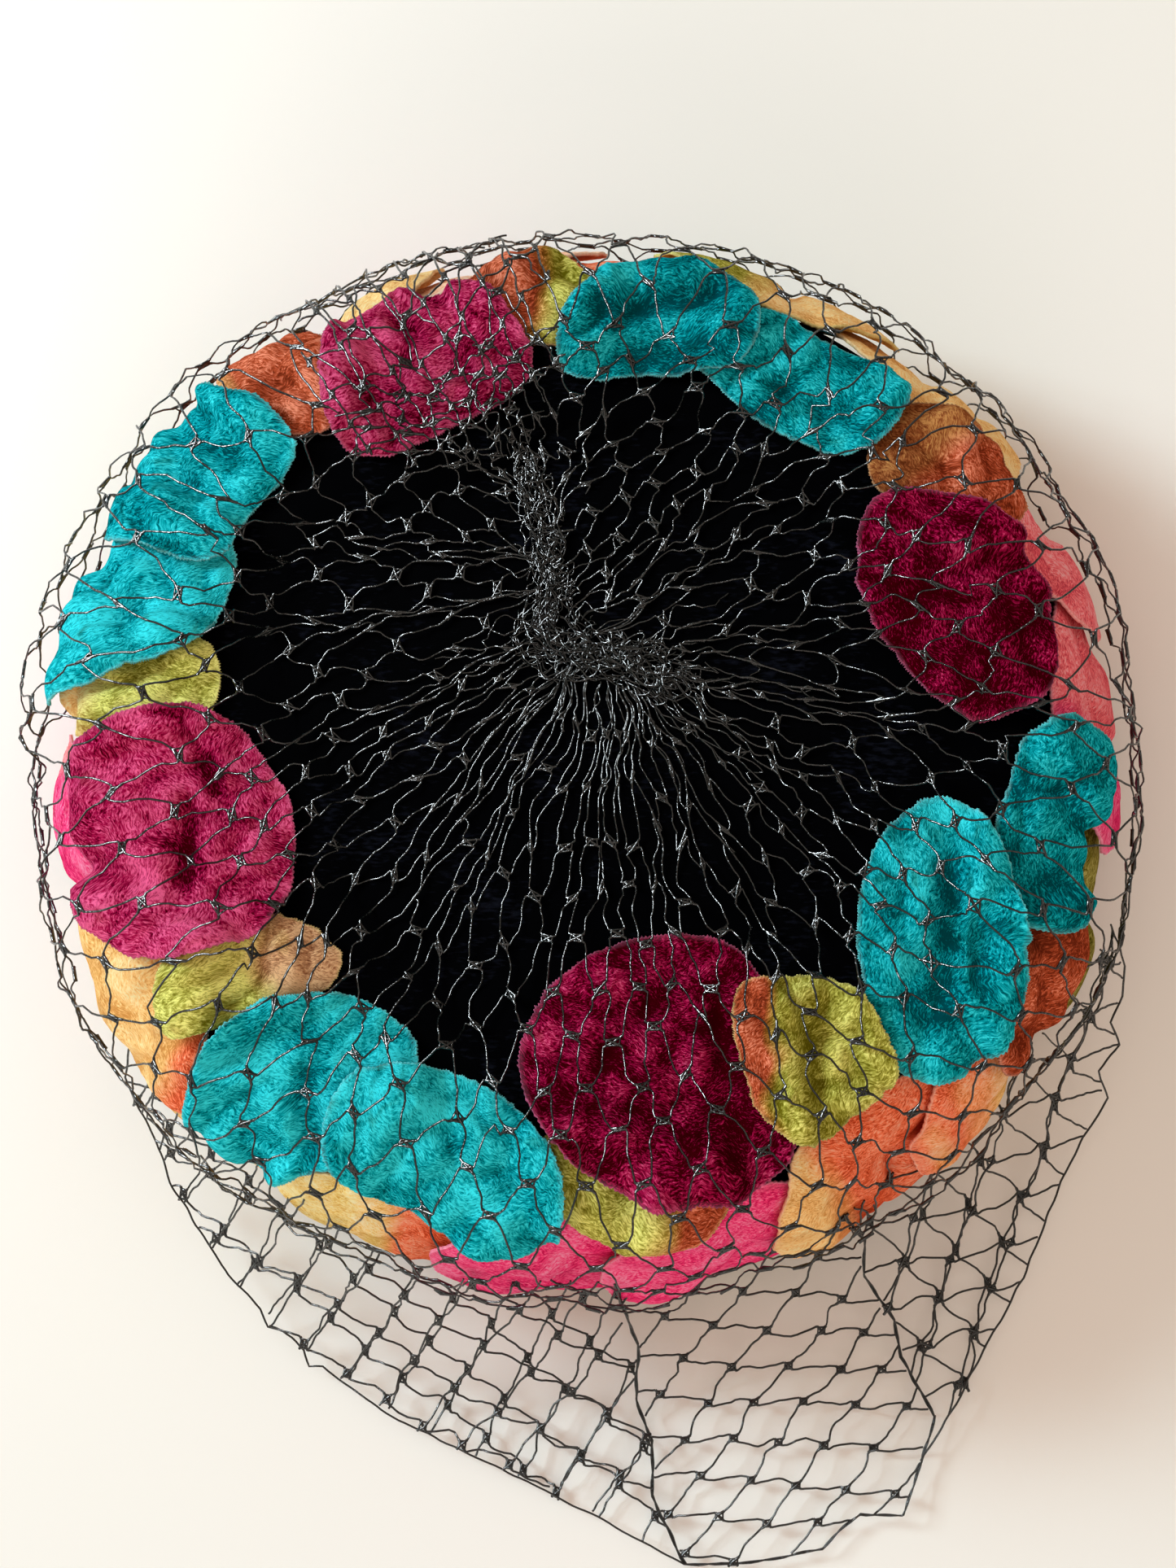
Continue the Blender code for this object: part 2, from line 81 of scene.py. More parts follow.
BLOT = (6, 0.06)  # size in mm of the pile's broad patches, and how far each leans
DYE_RUN = (5, 0.9)  # mm over which two dyes run together, and how ragged they meet
OUTLINE_ROUNDING = range(-9, 10)  # degrees over which an outline's corners are rounded
PAINTED_FOLD_SHADE = 0.12  # painted shade in the folds: how far the pile's tone darkens there
PAINTED_CREASE_SHADE = 0.08  # the same painted shade for each mm of a pressed crease
SIDE_CRUMPLE = 0.35  # share of the crumples that the side leaves have
CREASED = 1.7  # how many times deeper than listed the creases are pressed
CUT_WAVE = (7 * MM, 0.7 * MM)  # wavelength and depth of the hand cut outline
FRAY = (1.1 * MM, 0.35 * MM)  # the same for its frayed edge
FIBRES = (0.1 * MM, 0.6 * MM)  # shortest and longest pile fibre past a cut edge
FIBRE_LEAN = (1.3 * MM, 0.4)  # how soon fibres change, and how far they lean aside
RAW = (0.15, 0.55)  # how far the raw edge's colour shows at the cut and at the fibres' tips

# The veil's net
THREAD = 0.19 * MM  # radius of its yarn
KNOT_THREAD = 0.27 * MM
VEIL_COLUMNS = 48
VEIL_HOLD = 8 * MM  # how far the net bridges the steps below it
VEIL_GAP = 0.6 * MM  # from what it lies on
VEIL_BILLOW = (
    # azimuth deg, how far the net stands off the hat's side mm
    (-180, 3.2), (-135, 3), (-90, 1.4), (-45, 2), (0, 2.6), (30, 2.4), (60, 0.6), (90, 0),
    (120, 0.8), (150, 2.4), (180, 3.2),
)
BILLOW_REACH = (101 * MM, 22 * MM)  # where it stands off most, and how far that spreads
KNOT = (1.45 * MM, 0.85 * MM)  # half its size across the hat and outwards
FIRST_KNOTS = 1  # half rows nearer to the gather have no knots
STRAND_PIECES = 7  # straight pieces of one strand
TWIST = (0.3 * MM, 1.7 * MM)  # how far a strand wanders as it twists, and how soon
SLACK = 1.5 * MM  # how far it bows between its knots
KNOT_SLIPS = ((6.5, 1.5), (17, 0.8))  # noises that slip the knots: how fine, half rows
BUNCHES = ((4, 0.2), (11, 0.08))  # noises that bunch the threads at the gather: how fine, radians
NET_DRIFTS = ((13, 2.2), (5, 0.7))  # noises that pull the net askew: wavelength mm, how far mm
FLAT_DRIFTS = ((20, 2.2), (6, 0.8))  # the same where it lies loose

# Colours of the velvets: painted shade where the pile leans away, body, painted sheen where the pile
# leans to the light, raw edge
DYES_AND_PAINTED_SHEEN = {
    "magenta": ("#3b0007", "#a80e46", "#ee6292", "#cc7296"),
    "pink": ("#c8104e", "#ff3c7e", "#ff94b8", "#ffb4c8"),
    "teal": ("#004a52", "#06a0aa", "#3ce4ee", "#8adcde"),
    "chartreuse": ("#6a6410", "#ada744", "#f8f389", "#e0da90"),
    "olive": ("#524a12", "#8c8234", "#ccc272", "#c4bb88"),
    "rust": ("#742a16", "#bf5230", "#fb9c7c", "#e0a890"),
    "tan": ("#70412a", "#b27a54", "#f0c090", "#e6c8a4"),
    "orange": ("#663016", "#9c572f", "#cf9456", "#dcb084"),
    "amber": ("#d8944c", "#ffc97e", "#ffe9b0", "#fbdcae"),
    "yellow": ("#dca848", "#ffe08a", "#fff6c8", "#fbecc0"),
    "coral": ("#c03c1c", "#ff7a50", "#ffb898", "#fac4ae"),
    "peach": ("#dc8c60", "#ffc29a", "#ffe8d4", "#fde4d0"),
    "salmon": ("#cc3c50", "#ff7078", "#ffb8bc", "#fcc6be"),
}
PILE_TONES = (0.34, 0.53, 0.74)  # where the painted shade, the body and the painted sheen lie on the pile's tone

# Azimuth runs anticlockwise from +X. Reach is the distance from the crown's middle along its
# surface to the leaf's middle, and turn is from straight outwards towards anticlockwise. Lift is
# how far the leaf's lower edge stands off. Each leaf lies on the ones before it.
LOWER_LEAVES = (
    # colour, azimuth deg, reach mm, length mm, width mm, turn deg, lift mm
    ("olive", 80, 118, 46, 28, 84, 1),
    ("pink", 111, 118, 46, 28, 97, 1),
    ("chartreuse", 140, 118, 46, 28, 82, 1),
    ("pink", 171, 118, 48, 28, 95, 2),
    ("peach", -159, 118, 46, 28, 86, 1),
    ("amber", -129, 118, 46, 28, 98, 1),
    ("coral", -99, 118, 46, 28, 84, 1),
    ("olive", -69, 118, 48, 28, 96, 2),
    ("amber", -38, 118, 48, 28, 84, 2),
    ("rust", -8, 118, 46, 28, 97, 1),
    ("coral", 21, 118, 46, 28, 84, 1),
    ("yellow", 50, 118, 46, 28, 96, 1),
)
UPPER_LEAVES = (
    ("coral", 85, 103, 46, 30, 97, 2),
    ("peach", 103, 103, 44, 28, 82, 2),
    ("amber", 122, 102, 46, 30, 96, 2),
    ("coral", 140, 104, 46, 30, 84, 2),
    ("yellow", 158, 102, 44, 28, 100, 4),
    ("amber", 177, 103, 46, 30, 82, 2),
    ("pink", -166, 104, 48, 30, 97, 6),
    ("peach", -148, 103, 46, 30, 84, 3),
    ("yellow", -130, 103, 48, 30, 98, 4),
    ("orange", -111, 104, 46, 30, 83, 3),
    ("pink", -92, 103, 46, 32, 97, 4),
    ("pink", -73, 104, 48, 32, 82, 4),
    ("coral", -54, 103, 46, 32, 96, 4),
    ("amber", -36, 103, 48, 30, 83, 4),
    ("olive", -15, 103, 46, 28, 97, 5),
    ("pink", 6, 103, 50, 30, 85, 7),
    ("orange", 29, 102, 48, 30, 97, 3),
    ("amber", 49, 102, 46, 28, 82, 5),
    ("olive", 68, 103, 44, 28, 97, 2),
)
TOP_LEAVES = (
    ("orange", -150, 94, 37, 25, 84, 0),
    ("chartreuse", 173, 77, 29, 20, 12, 0),
    ("rust", 133, 82, 26, 18, 59, 0),
    ("rust", 98, 78, 26, 18, 99, 0),
    ("orange", 38, 77, 32, 22, -80, 1),
    ("rust", -28, 90, 34, 24, 88, 0),
    ("chartreuse", -86, 78, 36, 24, 70, 0),
    ("teal", 168, 78, 34, 23, 52, 0),
    ("teal", 146, 80, 32, 21, 57, 0),
    ("chartreuse", -143, 70, 29, 21, -26, 0),
    ("teal", -108, 76, 46, 24, 85, 1),
    ("teal", -129, 76, 40, 28, -50, 1),
    ("teal", 60, 73, 41, 23, -84, 1),
    ("teal", 81, 72, 37, 26, -70, 0),
    ("magenta", 115, 69, 41, 25, -86, 0),
    ("teal", -12, 82, 41, 22, -90, 1),
    ("magenta", -166, 71, 45, 34, -78, 0),
    ("magenta", 20, 68, 43, 33, -85, 0),
    ("teal", -31, 70, 49, 27, -67, 0),
    ("magenta", -77, 59, 49, 39, 78, 0),
    ("chartreuse", -56, 69, 33, 25, -64, 0),
)
SEWN_LATE = (11,)  # top leaves whose cloth lies over the next one, by number

# Outlines of the top leaves, in each leaf's own mm: its middle, then how far the edge is from
# there in 16 directions, anticlockwise from its right side
CUTS = {
    "top 2": ((-0.1, 3.1), (
        8, 8.8, 10.5, 12.8, 13.2, 9, 7, 6, 6, 7, 11.5, 14.9, 15.6, 15.6, 10.8, 8,
    )),
    "top 3": ((-2.1, -3.2), (
        9.8, 9.1, 9, 9, 10, 10.5, 10, 9, 9.5, 10, 10.6, 10, 10.4, 10.4, 10.9, 11,
    )),
    "top 4": ((0.5, -1.1), (8, 8, 8, 8, 10, 12, 12, 10, 8.5, 8.5, 9, 10, 11, 12, 11, 9.5)),
    "top 5": ((-1, 1.6), (
        8.5, 10, 12.5, 15.2, 14.5, 11, 9, 8, 8.5, 10, 12, 13.2, 14.1, 14.9, 11.4, 9,
    )),
    "top 6": ((1.4, -2), (7, 8, 10, 13, 15, 14, 10, 8, 8, 8, 10, 13, 14, 10, 8, 7)),
    "top 7": ((0.1, 1), (7, 8, 10, 16.4, 17, 13, 10, 9, 9, 9, 10, 13, 17, 15, 10, 8)),
    "top 8": ((-5, -0.3), (9.5, 9, 10, 12.5, 18.8, 16, 15, 15, 17, 20, 20, 20, 20, 16.6, 13.7, 11.2)),
    "top 9": ((-1.1, 3), (
        14.5, 14.1, 13, 14, 16.5, 15.5, 13, 12.7, 14.9, 15.4, 15.5, 18, 19.5, 15, 12.3, 12,
    )),
    "top 10": ((-1.4, 0.1), (6.5, 7, 9.8, 15.5, 15, 14, 11.5, 10, 9, 9, 10, 12.2, 14, 12.3, 9, 7)),
    "top 11": ((0.9, 0.4), (
        12.1, 12, 12.6, 15, 19, 22.7, 16.4, 13.3, 12.2, 12.6, 15.8, 22, 22.7, 17.9, 14.7, 13,
    )),
    "top 12": ((2, 3), (13, 14, 16, 15.5, 15.5, 14.5, 15, 15, 15, 17, 20, 22, 21, 17, 15, 13)),
    "top 13": ((-0.6, 0.4), (9, 9.5, 12, 18.5, 18, 16, 12.5, 10.5, 10, 10, 11, 14, 19, 19, 14, 10)),
    "top 14": ((4.9, -0.3), (
        8.5, 9.5, 11.5, 13.5, 17.5, 20, 18, 14, 12.5, 12.5, 14.5, 18, 16, 11, 9.5, 8.8,
    )),
    "top 15": ((4.3, 0.2), (
        11.2, 11.2, 13.2, 15.4, 18.8, 20.5, 18, 14.9, 13.9, 14.7, 16.7, 19, 18, 14.4, 13.2, 12.4,
    )),
    "top 16": ((1.3, -2.1), (
        2.5, 3, 5.5, 11.5, 18, 20, 15.5, 12.2, 11.7, 11.7, 13.7, 17, 19.2, 16, 7, 4,
    )),
    "top 17": ((3.6, 1.3), (
        14.6, 14.4, 18, 21.8, 21.6, 22.2, 21, 20.3, 21.1, 22, 21.9, 22.3, 21.6, 20.4, 17, 15,
    )),
    "top 18": ((-1, -0.1), (
        14, 15.1, 17.6, 22.9, 22, 17.1, 14.3, 13.5, 14.1, 14.8, 16.7, 18.9, 22.9, 18.9, 16.2, 14.2,
    )),
    "top 19": ((0.5, -0.1), (
        10.4, 11.8, 13.8, 19, 25, 21.5, 15.5, 13.8, 14.6, 16.6, 19.1, 21.3, 24.1, 22, 13.5, 10.6,
    )),
    "top 20": ((1.3, 0.2), (
        20.9, 20.4, 20.1, 20, 21, 24, 27, 22.9, 21.3, 22.6, 25.1, 26.7, 24, 21.8, 21.1, 21.4,
    )),
    "top 21": ((-3.4, -0.8), (
        13.5, 11.9, 14, 14.2, 13.1, 10.7, 10.1, 11.1, 13.7, 15.3, 13.4, 12.5, 12.7, 13.6, 14.6, 15.5,
    )),
}

# Leaves dyed in two colours. The second lies beyond a point, seen from above, in a direction.
TWO_DYES = {
    # leaf: first colour, second colour, x mm, y mm, direction deg
    "top 1": ("coral", "amber", -70, -56, 140),
    "top 2": ("chartreuse", "amber", -83, 6, 200),
    "top 3": ("rust", "amber", -61, 58, 160),
    "top 4": ("rust", "chartreuse", -9, 80, 0),
    "top 5": ("orange", "rust", 56, 44, -50),
    "top 7": ("chartreuse", "rust", 12, -80, -40),
    "top 10": ("chartreuse", "tan", -56, -41, 0),
    "top 21": ("chartreuse", "rust", 31, -50, 180),
    "upper 7": ("pink", "amber", -84, 4, 120),
    "upper 8": ("amber", "coral", -72, -58, -120),
    "upper 9": ("amber", "yellow", -54, -74, -130),
    "upper 10": ("yellow", "coral", -36, -82, -30),
    "upper 12": ("pink", "coral", 34, -84, -10),
    "upper 13": ("coral", "amber", 41, -77, -150),
    "upper 14": ("coral", "yellow", 66.2, -55.6, -40),
    "upper 16": ("pink", "salmon", 92, 4, 90),
    "upper 17": ("salmon", "amber", 84, 48, 60),
    "upper 19": ("chartreuse", "amber", 40, 86, -60),
}

# Light and shade painted over a whole leaf, for how the light falls on it: each value shifts the leaf's
# pile tones lighter or darker
PAINTED_LIGHT_BY_LEAF = {
    "top 2": 0.09, "top 3": 0.03, "top 6": -0.05, "top 7": 0.06, "top 8": 0.08, "top 10": 0.12,
    "top 11": 0.1, "top 12": 0.1, "top 13": 0.0, "top 14": -0.02, "top 15": 0.07, "top 16": -0.05,
    "top 17": 0.06, "top 18": -0.15, "top 19": 0.04, "top 20": -0.11, "top 21": 0.01,
}

# Valleys pressed into the leaves, seen from above
CREASES = {
    # leaf: x mm, y mm, to x mm, to y mm, width mm, depth mm
    "top 12": ((-48, -58, -45, -74, 2.2, 1.6), (-57, -60, -50, -66, 1.5, 0.7)),
    "top 11": ((-24, -68, -14, -76, 2.2, 0.8), (-38, -70, -30, -80, 2, 0.7)),
    "top 19": (
        (62, -24, 60, -48, 2.6, 1.7),
        (67, -30, 65, -43, 1.8, 1.2),
        (54, -46, 62, -52, 2, 0.8),
    ),
    "top 17": ((-66, -5, -64, -10, 1.6, 1.6), (-69, -12, -69.5, -25, 1.8, 1.7)),
    "top 21": ((39, -47, 37.5, -62, 1.8, 0.9), (45, -52, 44, -60, 1.5, 0.6)),
    "top 14": ((2, 74, 22, 77, 2.4, 1.2), (8, 66, 24, 68, 2, 0.7)),
    "top 13": ((32, 62, 42, 56, 2, 0.9),),
    "top 15": ((-33, 72, -22, 64, 1.8, 0.9), (-40, 62, -34, 52, 1.5, 0.7)),
    "top 20": ((10, -47, 2, -56, 2, 0.9), (22, -50, 26, -66, 2.4, 0.7)),
    "upper 13": ((41, -76, 45, -75, 1.6, 1.2), (45, -74, 58, -63, 1.2, 0.5)),
}

# The net's middle on the crown, by the direction that its threads leave in
GATHER = (
    # azimuth deg, x mm, y mm
    (-180, -9, 18), (-150, -6, 13), (-115, 0, 11), (-75, 6, 9), (-40, 11, 8), (0, 13, 11),
    (30, 5, 14), (60, -3, 22), (85, -7, 34), (110, -10, 46), (140, -10, 36), (160, -8, 27),
    (180, -9, 18),
)
GATHER_ROLL = (
    # x mm, y mm, half its width mm
    (-12, 51, 0.8), (-9.5, 42, 1.2), (-7.5, 33, 1.8), (-6, 26, 3), (-8, 18, 5.5), (-1, 14, 6),
    (7, 13, 5), (14, 8, 3.5),
)
TANGLED_THREADS = (150, 40)  # how many, and the points of each
LOOSE_THREADS = (32, 24)  # the same for those that lie loose over it
# Reach of the veil's half rows along the crown, in front and at the back
VEIL_ROWS = (
    # front mm, back mm
    (0.5, 0.5), (9, 9), (17, 17), (25, 25), (33, 33), (40.5, 41), (48, 49), (55, 57), (62, 65),
    (68.5, 72.5), (74.5, 80), (80, 87), (85, 94), (90, 101), (94.5, 108), (99, 114.5), (103, 121),
)
FRONT_EDGE = 0.35  # the front's rows give way to the back's where an azimuth's sine is minus this
FRONT_TURN = 2.2  # how sharply they do

# The loose stretch in front, as it lies on the surface: mm from the crown's axis
LEFT_TOP = (
    (-85, -46), (-76.2, -55.7), (-67.1, -63.1), (-51.3, -78.1), (-38.3, -87.5), (-27.2, -91),
    (-18.1, -92.3), (-5.7, -91.7), (4.7, -92.5),
)
LEFT_HEM = (
    (-85, -46), (-85.9, -54.5), (-83.4, -60.5), (-80, -66.7), (-77.2, -74), (-72.5, -81.8),
    (-66.4, -91.2), (-60.5, -97), (-58.9, -100.4), (-56.5, -101), (-52.4, -104.6), (-51.5, -107.6),
    (-49, -107.6), (-42.8, -112.2), (-35, -117.3), (-26.4, -121.3), (-18.4, -125.2),
    (-10.5, -128.8), (-1.9, -133), (10, -139.4), (17.2, -143),
)
LEFT_THREAD = (
    (4.7, -92.5), (6.1, -97.1), (8.7, -103.7), (8.4, -113.5), (11.4, -121.3), (11.3, -131),
    (15.3, -139.4), (17.2, -143),
)
FRONT_HEM = (
    (17.2, -143), (22.8, -143.3), (32.8, -142.2), (42.2, -140.2), (49.1, -134.2), (56.9, -134.5),
    (60.4, -124.6), (62.9, -116.6),
)
RIGHT_THREAD = (
    (46.9, -80), (50.3, -84.8), (50.3, -91), (55.7, -99.1), (56.9, -105.9), (60.3, -111.9),
    (62.9, -116.6),
)
RIGHT_TOP = (
    (46.9, -80), (51.2, -76.6), (60.1, -68.4), (69.9, -58.9), (78.3, -51.2), (85.9, -44.3),
    (90.2, -36), (94.4, -31.2), (97, -26),
)
RIGHT_HEM = (
    (60.4, -124.6), (64.2, -118.6), (68.1, -111.9), (72.2, -104.6), (75.7, -98.1), (79.6, -91.6),
    (82.8, -83.5), (86.7, -74), (91, -65.8), (95.6, -58.3), (94.2, -53.5), (98, -48.5),
    (96.6, -44.3), (98.7, -39.5), (99.2, -34.1), (97, -26),
)
MIDDLE_TOP = ((4.7, -92.5), (18, -89.1), (33.5, -85.5), (46.9, -80))
# Its net, each layer by one knot, the way to the next knots on both sides, and its height
FALL_LAYERS = (
    # outline, knot mm, first way mm, second way mm, height mm
    ("left", (-22.3, -107.5), (6.9, -5.4), (-4.4, -7.5), 1.2),
    ("left", (-24.4, -110.3), (7.4, -4.4), (-5.4, -6.6), 3.4),
    ("middle", (35.6, -107.5), (9, -0.6), (-5.3, -6.6), 1.6),
    ("right", (70.2, -78.4), (6.8, -6.7), (-3.1, -8.5), 1.2),
    ("right", (70.2, -78.4), (9.9, 2.2), (-3.1, -8.5), 3.4),
)
FALL_RISE = 31 * MM  # from the surface up to where it leaves the hat
FALL_LANDS = 24 * MM  # how far from the hat it meets the surface
FALL_DROP = 1.7  # over 1 makes it steeper near the hat
FALL_RIPPLE = (1.2 * MM, 14)  # height, and wavelength in mm
FLAT_KNOT = 0.14  # half a knot's size, as a share of the way to the next one
FLAT_THREAD = 0.2 * MM
FLAT_SPAN = 24  # knots each way from a layer's first one, more than enough for its outline
CORD_STEP = 1.2  # mm
CORD_TWIST = 0.8  # radians at each step
FALL_LEAN = ((-0.4, -110.7), 742)  # it leans back towards this place, at this height, in mm

# The second thickness of net that is caught over the left magenta leaf
LEFT_FOLD = (
    (-47, 78), (-36, 84), (-18, 87), (-8, 81), (-4, 65), (-11, 50), (-22, 46), (-32, 46), (-44, 50),
    (-47, 62),
)


def linear(code):
    """An sRGB hex colour as linear red, green, blue and alpha."""
    parts = [int(code[k : k + 2], 16) / 255 for k in (1, 3, 5)]
    return (*(c / 12.92 if c <= 0.04045 else ((c + 0.055) / 1.055) ** 2.4 for c in parts), 1)


def new_material(name):
    finish = bpy.data.materials.new(name)
    finish.use_nodes = True
    finish.node_tree.nodes.clear()
    return finish


def add_node(finish, kind, inputs=(), **settings):
    """Adds a node. Its inputs are values, other nodes' outputs, or nodes for their first output."""
    node = finish.node_tree.nodes.new(kind)
    for name, value in settings.items():
        setattr(node, name, value)
    for name, value in dict(inputs).items():
        if isinstance(value, bpy.types.Node):
            value = value.outputs[0]
        if isinstance(value, bpy.types.NodeSocket):
            finish.node_tree.links.new(value, node.inputs[name])
        else:
            node.inputs[name].default_value = value
    return node


def set_stops(ramp, tones, colours):
    """Sets a colour ramp's stops, from dark to light."""
    for tone in tones[1:-1]:
        ramp.color_ramp.elements.new(tone)
    for stop, tone, colour in zip(ramp.color_ramp.elements, tones, colours):
        stop.position = tone
        stop.color = linear(colour)


def close_material(finish, colour, roughness, shine, relief=None):
    """Ends a material in its surface. The relief is (height, strength, depth)."""
    surface = {"Base Color": colour, "Roughness": roughness, "Specular IOR Level": shine}
    if relief:
        height, strength, depth = relief
        surface["Normal"] = add_node(
            finish, "ShaderNodeBump", {"Height": height, "Strength": strength, "Distance": depth}
        )
    shader = add_node(finish, "ShaderNodeBsdfPrincipled", surface)
    add_node(finish, "ShaderNodeOutputMaterial", {"Surface": shader})
    return finish


def crown_point(reach):
    """The crown's outer profile: (radius, height) and its normal, at a distance along it."""
    if reach <= TOP_RADIUS:
        fall = TOP_FALL * (reach / TOP_RADIUS) ** 2
        tilt = math.atan2(2 * TOP_FALL * reach, TOP_RADIUS**2)
        return reach, CROWN_HEIGHT - fall, math.sin(tilt), math.cos(tilt)
    edge_top = CROWN_HEIGHT - TOP_FALL
    bend = (reach - TOP_RADIUS) / EDGE_RADIUS
    if reach <= TOP_RADIUS + EDGE_LENGTH:
        radius = TOP_RADIUS + EDGE_RADIUS * math.sin(bend)
        return radius, edge_top - EDGE_RADIUS * (1 - math.cos(bend)), math.sin(bend), math.cos(bend)
    down = reach - TOP_RADIUS - EDGE_LENGTH
    side_top = TOP_RADIUS + EDGE_RADIUS
    flare = min(1, down / (edge_top - EDGE_RADIUS - RIM_BAND))
    return side_top + flare * (RIM_RADIUS - side_top), edge_top - EDGE_RADIUS - down, 1, 0


def towards(angle):
    """A level unit vector in this direction."""
    return Vector((math.cos(angle), math.sin(angle), 0))


def over_crown(azimuth, reach, height):
    """The point at a height over the crown's surface."""
    radius, z, out, up = crown_point(reach)
    radius += out * height
    side = Vector((radius * math.cos(azimuth), radius * math.sin(azimuth), z + up * height))
    return AXIS + side


def blend(field, i, j, beside, down, right):
    """A grid's value between row i and the next, and between column j and the one beside it."""
    near = field[i, j] * (1 - right) + field[i, beside] * right
    far = field[i + 1, j] * (1 - right) + field[i + 1, beside] * right
    return near * (1 - down) + far * down


def part_way(start, end, part):
    """What lies at a part of the way from start to end."""
    return [a + (b - a) * part for a, b in zip(start, end)]


class Covering:
    """How high the crown is covered so far, on a grid of azimuths and reaches."""

    AZIMUTHS = 720
    STEP = 1 * MM

    def __init__(self):
        self.reaches = np.arange(0, CROWN_REACH, self.STEP)
        self.radii = np.array([max(crown_point(reach)[0], self.STEP) for reach in self.reaches])
        self.azimuths = np.arange(self.AZIMUTHS) * 2 * math.pi / self.AZIMUTHS
        self.height = np.zeros((len(self.reaches), self.AZIMUTHS))

    def shifted(self, field, down, across):
        rows = np.clip(np.arange(len(field)) + down, 0, len(field) - 1)
        return np.roll(field[rows], across, axis=1)

    def bridged(self, around):
        """The cover as stiff cloth meets it: raised to its highest within a distance, then smoothed."""
        typical = 80 * MM
        steps = int(around / self.STEP)
        raised = self.height
        for down in range(-steps, steps + 1):
            half = math.sqrt(max(0, around**2 - (down * self.STEP) ** 2))
            wide = int(half / typical / (2 * math.pi) * self.AZIMUTHS)
            for across in range(-wide, wide + 1):
                raised = np.maximum(raised, self.shifted(self.height, down, across))
        smooth = raised
        for _ in range(max(1, steps // 2)):
            beside = (self.shifted(smooth, *way) for way in ((1, 0), (-1, 0), (0, 1), (0, -1)))
            smooth = sum(beside, smooth * 2) / 6
        return np.maximum(smooth, self.height)

    def read(self, field, azimuth, reach):
        """A field's value between its grid points."""
        row = min(max(reach / self.STEP, 0), len(self.reaches) - 1.001)
        column = azimuth / (2 * math.pi) * self.AZIMUTHS % self.AZIMUTHS
        i, j = int(row), int(column) % self.AZIMUTHS
        down, right = row - i, column - int(column)
        beside = (j + 1) % self.AZIMUTHS
        return float(blend(field, i, j, beside, down, right))

    def lay(self, leaf, heights):
        """Raises the cover by a leaf whose upper face has these heights on its square grid."""
        off = (self.azimuths[None, :] - leaf.azimuth + math.pi) % (2 * math.pi) - math.pi
        across, along = leaf.to_leaf(
            off * self.radii[:, None], (self.reaches[:, None] - leaf.reach) + 0 * off
        )
        angle = np.degrees(np.arctan2(along, across)) % 360
        share = np.hypot(across, along) / np.interp(angle, np.arange(361), leaf.edge)
        inside = share <= 1
        u = share * np.cos(np.radians(angle))
        v = share * np.sin(np.radians(angle))
        squares = []
        for one, other in ((u, v), (v, u)):
            base = 2 + one**2 - other**2
            high = np.sqrt(np.maximum(base + math.sqrt(8) * one, 0))
            low = np.sqrt(np.maximum(base - math.sqrt(8) * one, 0))
            squares.append(np.clip((high - low) / 2, -1, 1))
        faces = len(heights) - 1
        column = np.clip((squares[0] + 1) / 2 * faces, 0, faces - 1e-6)
        row = np.clip((squares[1] + 1) / 2 * faces, 0, faces - 1e-6)
        i, j = row.astype(int), column.astype(int)
        down, right = row - i, column - j
        top = blend(heights, i, j, j + 1, down, right)
        self.height = np.where(inside, np.maximum(self.height, top), self.height)


class Leaf:
    """One velvet leaf, by its place on the crown and its outline."""

    def __init__(self, node, azimuth, reach, length, width, turn, lift):
        self.node = node
        ring, _, number, _ = node.split("_")
        self.mark = f"{ring} {int(number)}"
        self.seed = 10 * (sum(map(ord, node)) % 97)
        self.azimuth = math.radians(azimuth)
        self.reach = reach * MM
        self.length = length * MM
        self.turn = math.radians(turn)
        self.lift = lift * MM
        self.middle, cut = CUTS.get(self.mark, ((0, 0), self.plain_cut(width * MM)))
        around = np.linspace(0, 360, 361)
        edge = np.interp(around, np.linspace(0, 360, len(cut) + 1), [*cut, cut[0]])[:360]
        edge = sum(np.roll(edge, turn) for turn in OUTLINE_ROUNDING) / len(OUTLINE_ROUNDING) * MM
        long, deep = CUT_WAVE
        for degree in range(360):
            out = towards(math.radians(degree))
            at = out * edge[degree] / long + Vector((0, 0, self.seed))
            edge[degree] += deep * noise.noise(at)
        self.edge = np.append(edge, edge[0])

    def plain_cut(self, width):
        """Outline in mm of a side leaf: round at the stem and drawn in to the tip."""
        out = np.arange(0, self.length, 0.1 * MM)
        cut = []
        for angle in np.linspace(0, 2 * math.pi, 49)[:-1]:
            share = np.clip(out * math.sin(angle) / self.length + 0.5, 0, 1)
            belly = np.clip(np.sin(math.pi * share**LEAF_SKEW), 0, 1) ** LEAF_FULLNESS
            half = width / 2 * (LEAF_END + (1 - LEAF_END) * belly)
            if math.cos(angle) > 0:
                half = half * WIDE_TUCKS.get(self.mark, LEAF_TUCK)
            inside = (np.abs(out * math.cos(angle)) <= half) & (share > 0) & (share < 1)
            cut.append(float(out[inside].max()) / MM)
        return cut

    def to_leaf(self, across_hat, outwards):
        across = across_hat * math.cos(self.turn) - outwards * math.sin(self.turn)
        along = across_hat * math.sin(self.turn) + outwards * math.cos(self.turn)
        return across - self.middle[0] * MM, along - self.middle[1] * MM

    def place(self, across, along):
        """(azimuth, reach) of a point of the leaf's flat cloth."""
        across += self.middle[0] * MM
        along += self.middle[1] * MM
        across_hat = across * math.cos(self.turn) + along * math.sin(self.turn)
        outwards = along * math.cos(self.turn) - across * math.sin(self.turn)
        reach = min(self.reach + outwards, CROWN_REACH - 1 * MM)
        return self.azimuth + across_hat / crown_point(reach)[0], reach

    def size(self):
        """Width and length of the flat cloth, and its area, as cut."""
        angles = np.radians(np.arange(360))
        across = self.edge[:360] * np.cos(angles)
        along = self.edge[:360] * np.sin(angles)
        area = float((self.edge[:360] ** 2).sum() / 2 * math.radians(1))
        return float(np.ptp(across)), float(np.ptp(along)), area


